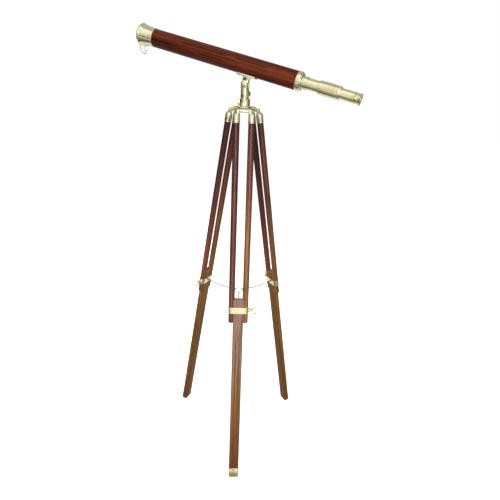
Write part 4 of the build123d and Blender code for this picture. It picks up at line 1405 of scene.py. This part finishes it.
# ------------------------------------------------------------------ hub
@dataclass
class Hub:
    """Cast spider, spindle, hinge screws and the spreader ring."""

    fittings: Fittings
    flange_radius: float = 22.4
    flange_low: float = 1284.0
    flange_high: float = 1290.5
    boss_radius: float = 16.9
    boss_high: float = 1312.5
    eye_inner: float = 15.5
    eye_width: float = 6.0
    bar_radius: float = 5.25
    spindle_radius: float = 8.0
    ring_radius: float = 15.5
    ring_wire: float = 1.4

    def build(self) -> Iterator[Piece]:
        """Make every piece, one after another."""
        yield from self.casting()
        yield self.screws()
        yield self.spreader_ring()

    def casting(self) -> Iterator[Piece]:
        """Flange, socket with its lugs and three curved arms with their cross bars, and the spindle."""
        low, high, top = self.flange_low, self.flange_high, self.boss_high
        flange, boss, pin_radius = self.flange_radius, self.boss_radius, self.spindle_radius
        profile = [(low, 0.0), (low, flange - 0.6), (low + 0.6, flange), (high - 1.2, flange)]
        profile += [(high - 0.4, flange - 0.5), (high, flange - 1.4), (high, boss + 1.6)]
        profile += [(high + 0.6, boss + 0.6), (high + 1.6, boss), (top - 3.4, boss), (top - 3.0, boss + 0.5)]
        profile += [(top - 1.0, boss + 0.5), (top - 0.2, boss - 0.1), (top, boss - 0.9)]
        profile += [(top, pin_radius + 0.1), (top - 0.4, pin_radius), (high, pin_radius), (high, 0.0)]
        shape = Shape().lathe(HOME, profile, 96)
        for leg in LegName:
            self.arm(shape, LegAxes.of(leg))
        self.lugs(shape)
        piece = shape.piece("hub_spider_cast", Finishes.BRASS, Body.HUB, 0.35, 38.0)
        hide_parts("hub_spider")
        yield piece
        rod = [(high, 0), (high, pin_radius), (1337, pin_radius), (1338, pin_radius - 1.0), (1338, 0)]
        turned = Shape().lathe(HOME, rod, 48)
        pin = turned.piece("azimuth_spindle_turned", Finishes.BRASS, Body.HUB, 0.0, 28.0)
        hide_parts("azimuth_spindle")
        yield pin

    def arm(self, shape: Shape, leg: "LegAxes") -> None:
        """Add one curved arm and its cross bar.

        Args:
            shape: the hub's shape.
            leg: the leg's frame.
        """
        path = ((19.0, 1287.3, 5.4, 3.2), (26.0, 1287.3, 5.2, 3.1), (31.0, 1286.9, 4.9, 3.2),
                (35.5, 1285.6, 4.6, 3.5), (38.3, 1283.0, 4.4, 3.9), (39.2, 1280.0, 4.2, 4.2))
        sections = []
        for index, (radius, height, half_wide, half_thick) in enumerate(path):
            before, after = path[max(index - 1, 0)], path[min(index + 1, len(path) - 1)]
            ahead = leg.outward * (after[0] - before[0]) + Vector((0, 0, after[1] - before[1]))
            centre = (leg.outward * radius + Vector((0, 0, height))) * MM
            axes = Axes.along(centre, ahead, leg.axes.x)
            outline = [(half_wide * x, half_thick * y) for x, y in rounded_square(0.35)]
            sections.append((axes, outline))
        shape.sweep(sections)
        bar = Axes.along(leg.axes.origin, leg.axes.x, leg.axes.z)
        reach = self.eye_inner - 0.1
        pin = reach + self.eye_width
        thick = self.bar_radius
        end = [(pin, 0), (pin, 3.0), (reach, 3.0), (reach, 4.6), (reach - 0.7, thick), (8.0, thick)]
        end += [(6.8, thick)]
        shape.lathe(bar, [(-along, radius) for along, radius in end] + end[::-1], 40)

    def lugs(self, shape: Shape) -> None:
        """Add the socket's pair of clamping lugs on the left."""
        low, high = self.flange_high - 0.2, self.boss_high - 0.4
        outline = [(-21.6, low), (-21.6, high - 2.0), (-20.4, high), (-12.0, high), (-12.0, low)]
        for near in (-4.4, 1.4):
            side = Axes(Vector((0, near * MM, 0)), HOME.x, HOME.z, -HOME.y)
            shape.prism(side.shifted(z=-3.0), outline, 3.0)

    def screws(self) -> Piece:
        """Slotted hinge screws in the ends of the cross bars."""
        seats = []
        for leg in LegName:
            axes = LegAxes.of(leg).axes
            for side in (-1, 1):
                centre = axes.at(side * (self.eye_inner + self.eye_width + 0.1), 0, 0)
                seats.append(Axes.along(centre, axes.x * side, axes.z))
        piece = self.fittings.screws("hinge_screw_heads", seats, 3.4, Body.HUB)
        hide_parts("hinge_screws")
        return piece

    def spreader_ring(self) -> Piece:
        """Ring that gathers the three spreader chains."""
        low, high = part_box("spreader_ring")
        axes = Axes((low + high) / 2, HOME.x, HOME.y, HOME.z)
        wire = Shape().ring(axes, self.ring_radius, self.ring_wire, 72, 16)
        piece = wire.piece("spreader_ring_wire", Finishes.CHAIN_BRASS_PAINTED_SHADE, Body.HUB)
        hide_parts("spreader_ring")
        return piece


def rounded_square(corner: float, steps: int = 4) -> list[tuple[float, float]]:
    """Square from -1 to 1 with rounded corners.

    Args:
        corner: radius of a corner.
        steps: spaces between the points of a corner.

    Returns:
        Points round the square.
    """
    inner = 1 - corner
    points = []
    for turn, (x, y) in enumerate(((inner, inner), (-inner, inner), (-inner, -inner), (inner, -inner))):
        points += arc((x, y), corner, 90 * turn, 90 * turn + 90, steps)
    return points


# ------------------------------------------------------------------ legs
@dataclass(frozen=True)
class LegAxes:
    """A leg's frame at its hinge: x along the hinge, y out of the outer face, z down the leg."""

    axes: Axes
    outward: Vector

    @classmethod
    def of(cls, leg: LegName) -> "LegAxes":
        """Read a leg's frame from its joints."""
        hinge = JOINTS[f"{leg.value}_leg_fold"]
        slide = JOINTS[f"{leg.value}_board_slide"]
        x = Vector(hinge["axis"]).normalized()
        z = -Vector(slide["axis"]).normalized()
        origin = Vector(hinge["pos_m"])
        outward = Vector((origin.x, origin.y, 0)).normalized()
        return cls(Axes(origin, x, z.cross(x), z), outward)


@dataclass
class Leg:
    """Two dowels, a sliding board, their brass fittings and a spreader chain."""

    fittings: Fittings
    leg: LegName
    dowel_finishes: tuple[WoodFinish, WoodFinish]
    board_finish: WoodFinish
    spacing: float = 46.5
    dowel_radius: float = 10.2
    dowel_top: float = 14.0
    dowel_end: float = 684.0
    ferrule_radius: float = 11.0
    ferrule_end: float = 36.4
    band_middle: float = 639.0
    band_height: float = 22.0
    eye_start: float = 15.5
    eye_width: float = 6.0
    chain_links: int = 20
    chain_droop: float = 20.0
    lug_out: float = 15.85
    lug_reach: float = 1.45
    lug_drop: float = 0.33
    ring_radius: float = 15.5
    ring_reach: float = 1.42
    ring_height: float = 643.5
    ring_lift: float = 0.18

    def __post_init__(self) -> None:
        """Read the leg's frame."""
        self.name = self.leg.value
        self.axes = LegAxes.of(self.leg).axes
        self.body = f"{self.name}_leg"

    def build(self) -> Iterator[Piece]:
        """Make every piece, one after another."""
        yield from self.dowels()
        yield self.ferrules()
        yield self.band()
        yield self.wing_screw()
        yield self.board()
        yield from self.shoe()
        yield from self.chains()

    def dowels(self) -> Iterator[Piece]:
        """Round wooden rods with softened ends."""
        radius, top, rows = self.dowel_radius, self.dowel_top, 16
        straight = self.dowel_end - 1.5
        for side, sign, finish in zip(("left", "right"), (-1, 1), self.dowel_finishes):
            axes = self.axes.shifted(x=sign * self.spacing / 2)
            profile = [(top, 0.0), (top, radius)]
            profile += [(top + (straight - top) * row / rows, radius) for row in range(1, rows)]
            profile += arc((straight, radius - 1.5), 1.5, 90, 0, 5)
            profile.append((self.dowel_end, 0.0))
            rod = Shape().lathe(axes, profile, 64)
            piece = rod.piece(f"{self.name}_dowel_{side}_turned", finish, self.body, 0.0, 40.0)
            grain_along(piece, self.axes, 0.11 * sign + 0.37 * len(self.name))
            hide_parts(f"{self.name}_dowel_{side}")
            yield piece

    def ferrules(self) -> Piece:
        """Domed brass ferrules with a necked eye that turns on the cross bar."""
        shape = Shape()
        end, radius = self.ferrule_end, self.ferrule_radius
        for sign in (-1, 1):
            axes = self.axes.shifted(x=sign * self.spacing / 2)
            profile = [(self.dowel_top, 0.0), (5.6, 0.0), (5.6, 2.4), (6.4, 5.2), (8.0, 7.6), (10.4, 9.6)]
            profile += [(13.4, 10.7), (16.6, radius), (end - 2.9, radius), (end - 2.5, radius - 0.35)]
            profile += [(end - 2.1, radius - 0.35), (end - 1.8, radius + 0.5), (end - 0.4, radius + 0.5)]
            profile += [(end, radius + 0.1), (end, self.dowel_radius), (self.dowel_top, self.dowel_radius)]
            shape.lathe(axes, profile, 56)
            start = self.eye_start if sign > 0 else -self.eye_start - self.eye_width
            eye = Axes.along(self.axes.at(start, 0, 0), self.axes.x, self.axes.z)
            outline = arc((0, 0), 5.55, 60, 300, 22)
            outline += [(5.2, -5.1), (10.6, -5.3), (11.6, 0), (10.6, 5.3), (5.2, 5.1)]
            shape.prism(eye, outline, self.eye_width)
        piece = shape.piece(f"{self.name}_ferrules_turned", Finishes.BRASS, self.body, 0.3, 32.0)
        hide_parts(f"{self.name}_ferrules")
        return piece

    def band_outline(self, radius: float, steps: int = 20) -> list[tuple[float, float]]:
        """Path round both dowels at a radius from their centres.

        Args:
            radius: distance from the centre of the nearer dowel.
            steps: spaces between the points of each half turn.

        Returns:
            Points round the path.
        """
        half = self.spacing / 2
        return arc((half, 0), radius, -90, 90, steps) + arc((-half, 0), radius, 90, 270, steps)

    def band(self) -> Piece:
        """Clamp strap round the dowels and the board, with its boss and its chain lug."""
        inner, outer, soft = self.dowel_radius + 0.05, self.dowel_radius + 1.25, 0.35
        low = self.band_middle - self.band_height / 2
        high = low + self.band_height
        section = [(low, inner), (low, outer - soft), (low + soft, outer), (high - soft, outer)]
        section += [(high, outer - soft), (high, inner)]
        shape = Shape()
        loops = []
        for along, radius in section:
            outline = self.band_outline(radius)
            loops.append([shape.mesh.verts.new(self.axes.at(x, y, along)) for x, y in outline])
        for first, second in zip(loops, loops[1:] + loops[:1]):
            shape.bridge(first, second, len(first))
        side = self.spacing / 2 + outer
        boss = Axes.along(self.axes.at(0, 0, self.band_middle), self.axes.x, self.axes.z)
        profile = [(side - 0.7, 3.05), (side - 0.7, 6.0), (side + 2.4, 6.0), (side + 2.9, 5.3)]
        profile += [(39.2, 5.3), (40.0, 4.6), (40.0, 3.05)]
        shape.lathe(boss, profile, 40)
        lug = Axes(self.axes.at(-0.8, 0, self.band_middle), self.axes.z, -self.axes.y, self.axes.x)
        hole = outer + 4.4
        ring_out = arc((0, hole), 3.2, 0, 180, 12) + [(-3.6, outer - 0.3), (3.6, outer - 0.3)]
        self.pierced(shape, lug, ring_out, (0, hole), 1.7, 1.6)
        piece = shape.piece(f"{self.name}_clamp_band_bent", Finishes.BRASS, self.body, 0.0, 32.0)
        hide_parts(f"{self.name}_clamp_band")
        return piece

    @staticmethod
    def pierced(
        shape: Shape, axes: Axes, outline: Profile, hole: tuple[float, float], radius: float, depth: float
    ) -> None:
        """Add a plate with one round hole.

        Args:
            shape: the shape that gets the plate.
            axes: the plate's frame, with its faces across z.
            outline: points round the plate, star-shaped about the hole.
            hole: the hole's centre.
            radius: the hole's radius.
            depth: the plate's thickness.
        """
        rims = []
        for height in (0.0, depth):
            outer = [shape.mesh.verts.new(axes.at(x, y, height)) for x, y in outline]
            inner = []
            for x, y in outline:
                angle = math.atan2(y - hole[1], x - hole[0])
                place = (hole[0] + radius * math.cos(angle), hole[1] + radius * math.sin(angle), height)
                inner.append(shape.mesh.verts.new(axes.at(*place)))
            rims.append((outer, inner))
        (low_out, low_in), (high_out, high_in) = rims
        for first, second in ((low_in, low_out), (low_out, high_out), (high_out, high_in), (high_in, low_in)):
            shape.bridge(first, second, len(first))

    def wing_screw(self) -> Piece:
        """Wing screw that pulls the clamp band tight."""
        axes = Axes.along(self.axes.at(0, 0, self.band_middle), self.axes.x, self.axes.z)
        shape = Shape().lathe(axes, [(33.6, 0), (33.6, 3.0), (41.4, 3.0), (41.4, 0)], 24)
        profile = [(40.3, 0), (40.3, 5.3), (41.2, 5.5), (43.0, 5.5), (45.5, 4.9), (48.2, 4.4)]
        profile += [(49.1, 3.4), (49.3, 0)]
        shape.lathe(axes, profile, 40)
        wing_axes = Axes(axes.origin, self.axes.x, -self.axes.z, self.axes.y)
        rim = [(42.4, 2.4), (45.0, 2.9), (48.4, 3.0), (51.0, 3.8), (54.6, 5.4), (58.6, 6.9), (61.8, 8.9)]
        rim += [(63.4, 11.6), (63.2, 14.0), (61.4, 15.6), (58.6, 15.8), (55.2, 14.4), (51.6, 11.6)]
        rim += [(47.6, 8.6), (44.4, 6.0)]
        for sign in (-1, 1):
            outline = [(x, sign * y) for x, y in rim]
            shape.prism(wing_axes.shifted(z=-1.4), outline if sign > 0 else outline[::-1], 2.8)
        node = f"{self.name}_wing_screw"
        piece = shape.piece(f"{node}_cast", Finishes.BRASS, node, 0.7, 30.0, 3)
        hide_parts(node)
        return piece

    def board(self) -> Piece:
        """Sliding board with coves for the dowels and a flute down its outer face."""
        node = f"{self.name}_slide_board"
        piece = cad_copy(node, f"{node}_planed", self.board_finish, f"{self.name}_foot", 0.0, 28.0)
        grain_along(piece, self.axes, 0.05 * len(self.name))
        return piece

    def shoe(self) -> Iterator[Piece]:
        """Brass shoe under the board's end and its one screw."""
        node = f"{self.name}_foot_shoe"
        yield cad_copy(node, f"{node}_bent", Finishes.BRASS, f"{self.name}_foot", 0.3, 30.0)
        seat = Axes.along(self.axes.at(0, 11.6, 1272.5), self.axes.y, self.axes.z)
        screw = self.fittings.screws(f"{self.name}_shoe_screw_head", [seat], 3.0, f"{self.name}_foot")
        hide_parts(f"{self.name}_shoe_screw")
        yield screw

    def chains(self) -> Iterator[Piece]:
        """Both halves of the spreader chain."""
        lug = self.axes.at(0, -self.lug_out, self.band_middle)
        level = Vector((lug.x, lug.y, 0))
        outward = level.normalized()
        start, end = level.length / MM - self.lug_reach, self.ring_radius - self.ring_reach
        high, low = lug.z / MM - self.lug_drop, self.ring_height + self.ring_lift
        stops = []
        for index in range(self.chain_links + 1):
            share = index / self.chain_links
            height = high + (low - high) * share - self.chain_droop * share * (1 - share)
            stops.append((outward * (start + (end - start) * share) + Vector((0, 0, height))) * MM)
        places = link_places(stops, self.axes.x, 1)
        middle = self.chain_links // 2
        for half, chosen in (("outer", places[:middle]), ("inner", places[middle:])):
            node = f"{self.name}_chain_{half}"
            chain = self.fittings.repeater.run(
                f"{node}_links", chosen, self.fittings.link, Finishes.CHAIN_BRASS_PAINTED_SHADE, node
            )
            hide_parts(node)
            yield chain


# ------------------------------------------------------------------ studio
@dataclass
class Studio:
    """Camera, floor, surroundings and lamps."""

    eye: tuple[float, float, float] = (0.0, -1.3050, 1.3716)
    pan: float = 1.549
    tilt: float = -23.375
    roll: float = 2.363
    lens: float = 28.63
    panel_glow: float = 4.2
    floor_half: float = 9000.0

    def camera(self) -> None:
        """Place the camera and make it the scene's."""
        pan, tilt, roll = (math.radians(angle) for angle in (self.pan, self.tilt, self.roll))
        ahead = Vector((math.sin(pan) * math.cos(tilt), math.cos(pan) * math.cos(tilt), math.sin(tilt)))
        right = ahead.cross(Vector((0, 0, 1))).normalized()
        up = right.cross(ahead)
        right, up = right * math.cos(roll) + up * math.sin(roll), up * math.cos(roll) - right * math.sin(roll)
        data = bpy.data.cameras.new("camera")
        data.lens = self.lens
        data.sensor_width = 36.0
        data.clip_start = 0.01
        camera = bpy.data.objects.new("camera", data)
        bpy.context.scene.collection.objects.link(camera)
        camera.matrix_world = Axes(Vector(self.eye), right, up, -ahead).matrix()
        bpy.context.scene.camera = camera

    def surroundings(self) -> None:
        """White room to look at, with a softer studio in the reflections."""
        world = bpy.data.worlds.new("studio")
        bpy.context.scene.world = world
        world.use_nodes = True
        world.node_tree.nodes.clear()
        s = NodeSketch(world.node_tree)
        way = s.add("ShaderNodeTexCoord")
        parts = s.add("ShaderNodeSeparateXYZ")
        s.feed(parts.inputs[0], way.outputs["Generated"])
        x, y, z = parts.outputs
        ahead = s.math("MULTIPLY", y, -1.0)
        room = s.math("ADD", s.spread(ahead, -0.10, 0.40, 0.0, 0.86), s.spread(z, 0.1, 0.9, 0.0, 0.35))
        wide = s.math("ABSOLUTE", x)
        room = s.math("MULTIPLY", room, s.spread(wide, 0.62, 0.92, 1.0, 0.55))
        room = s.math("MULTIPLY", room, s.spread(z, -0.60, -0.32, 0.40, 1.0))
        behind = s.spread(ahead, -0.30, 0.05, 1.0, 0.0)
        room = s.math("ADD", room, s.math("MULTIPLY", behind, s.spread(z, -0.50, -0.22, 0.92, 0.22)))
        panel = s.math("MULTIPLY", s.spread(wide, 0.10, 0.24, 1.0, 0.0), s.spread(ahead, 0.2, 0.5))
        panel = s.math("MULTIPLY", panel, s.spread(z, -0.25, 0.02))
        panel = s.math("MULTIPLY", panel, s.spread(z, 0.30, 0.50, 1.0, 0.0))
        room = s.math("ADD", room, s.math("MULTIPLY", panel, self.panel_glow))
        band = s.math("MULTIPLY", s.spread(z, -0.25, -0.22), s.spread(z, -0.12, -0.09, 1.0, 0.0))
        dark = s.math("MULTIPLY", band, s.spread(x, -0.66, -0.56, 1.0, 0.0))
        room = s.math("MULTIPLY", room, s.math("SUBTRACT", 1.0, s.math("MULTIPLY", dark, 0.9)))
        rays = s.add("ShaderNodeLightPath").outputs
        dull = s.math("SUBTRACT", 1.0, rays["Is Glossy Ray"])
        soft = s.math("MULTIPLY", s.spread(ahead, -0.2, 0.9, 0.04, 0.22), dull)
        strength = s.math("ADD", s.math("MULTIPLY", room, rays["Is Glossy Ray"]), soft)
        strength = s.math("MULTIPLY", strength, s.math("SUBTRACT", 1.0, rays["Is Camera Ray"]))
        strength = s.math("ADD", strength, rays["Is Camera Ray"])
        background = s.add("ShaderNodeBackground")
        s.feed(background.inputs["Color"], (1, 1, 1, 1))
        s.feed(background.inputs["Strength"], strength)
        output = s.add("ShaderNodeOutputWorld")
        s.tree.links.new(background.outputs[0], output.inputs["Surface"])

    def floor(self) -> None:
        """Plain pale floor."""
        shape = Shape()
        half = self.floor_half
        corners = [(-half, -half), (half, -half), (half, half), (-half, half)]
        shape.prism(HOME.shifted(z=-10.0), corners, 9.9)
        data = bpy.data.meshes.new("floor")
        shape.mesh.to_mesh(data)
        shape.mesh.free()
        floor = bpy.data.objects.new("floor", data)
        bpy.context.scene.collection.objects.link(floor)
        material, s, shader = start_material("pale_floor")
        place = s.add("ShaderNodeTexCoord")
        mottle = s.noise(place.outputs["Object"], (7.0, 7.0, 7.0), 3.0)
        s.feed(shader.inputs["Base Color"], s.mix(mottle, (0.90, 0.90, 0.90, 1), (0.93, 0.93, 0.93, 1)))
        shader.inputs["Roughness"].default_value = 0.9
        shader.inputs["Specular IOR Level"].default_value = 0.0
        shader.inputs["Emission Color"].default_value = (1, 1, 1, 1)
        shader.inputs["Emission Strength"].default_value = 0.95
        floor.data.materials.append(material)
        floor.visible_glossy = False
        floor.visible_diffuse = False

    def lamp(
        self, name: str, place: Sequence[float], aim: Sequence[float], size: Sequence[float], power: float
    ) -> None:
        """Add one soft rectangular lamp.

        Args:
            name: the lamp's name.
            place: where it stands, in metres.
            aim: the point that it faces.
            size: its width and height in metres.
            power: its power in watts.
        """
        data = bpy.data.lights.new(name, "AREA")
        data.shape = "RECTANGLE"
        data.size, data.size_y = size
        data.energy = power
        lamp = bpy.data.objects.new(name, data)
        bpy.context.scene.collection.objects.link(lamp)
        lamp.visible_glossy = False
        back = (Vector(place) - Vector(aim)).normalized()
        lamp.matrix_world = Axes.along(Vector(place), back, Vector((1, 0, 0))).matrix()

    def lamps(self) -> None:
        """Key light at the front, a fill on the right, a soft overhead panel and two lamps behind."""
        self.lamp("key", (-0.25, -1.60, 1.75), (0, 0, 0.8), (0.35, 0.35), 24.0)
        self.lamp("fill", (2.0, -1.6, 1.4), (0, 0, 0.8), (0.8, 1.4), 3.0)
        self.lamp("back_left", (-1.5, 2.0, 1.6), (0, 0, 0.9), (1.0, 1.4), 36.0)
        self.lamp("back_right", (1.7, 1.6, 1.2), (0, 0, 0.8), (1.0, 1.4), 26.0)
        self.lamp("overhead", (0.2, -0.4, 3.2), (0, 0, 1.0), (1.6, 1.6), 10.0)

    def build(self) -> None:
        """Set the stage: camera, surroundings, floor and lamps."""
        self.camera()
        self.surroundings()
        self.floor()
        self.lamps()
        bpy.context.scene.view_settings.view_transform = "Standard"


def main() -> None:
    """Build the studio and the telescope, piece by piece."""
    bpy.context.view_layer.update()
    Studio().build()
    fittings = Fittings()
    scope = Telescope(fittings)
    golden, red = Finishes.DOWEL_GOLD, Finishes.DOWEL_RED
    parts = [
        scope,
        CapKeeper(fittings, scope),
        SwivelHead(fittings, scope),
        Hub(fittings),
        Leg(fittings, LegName.FRONT, (red, golden), Finishes.BOARD_PAINTED_SHEEN),
        Leg(fittings, LegName.LEFT, (golden, red), Finishes.BOARD_BROWN),
        Leg(fittings, LegName.RIGHT, (golden, red), Finishes.BOARD_BROWN),
    ]
    for part in parts:
        for piece in part.build():
            log.info("%s: %s, %d faces", type(part).__name__, piece.name, len(piece.data.polygons))


if __name__ == "__main__":
    main()
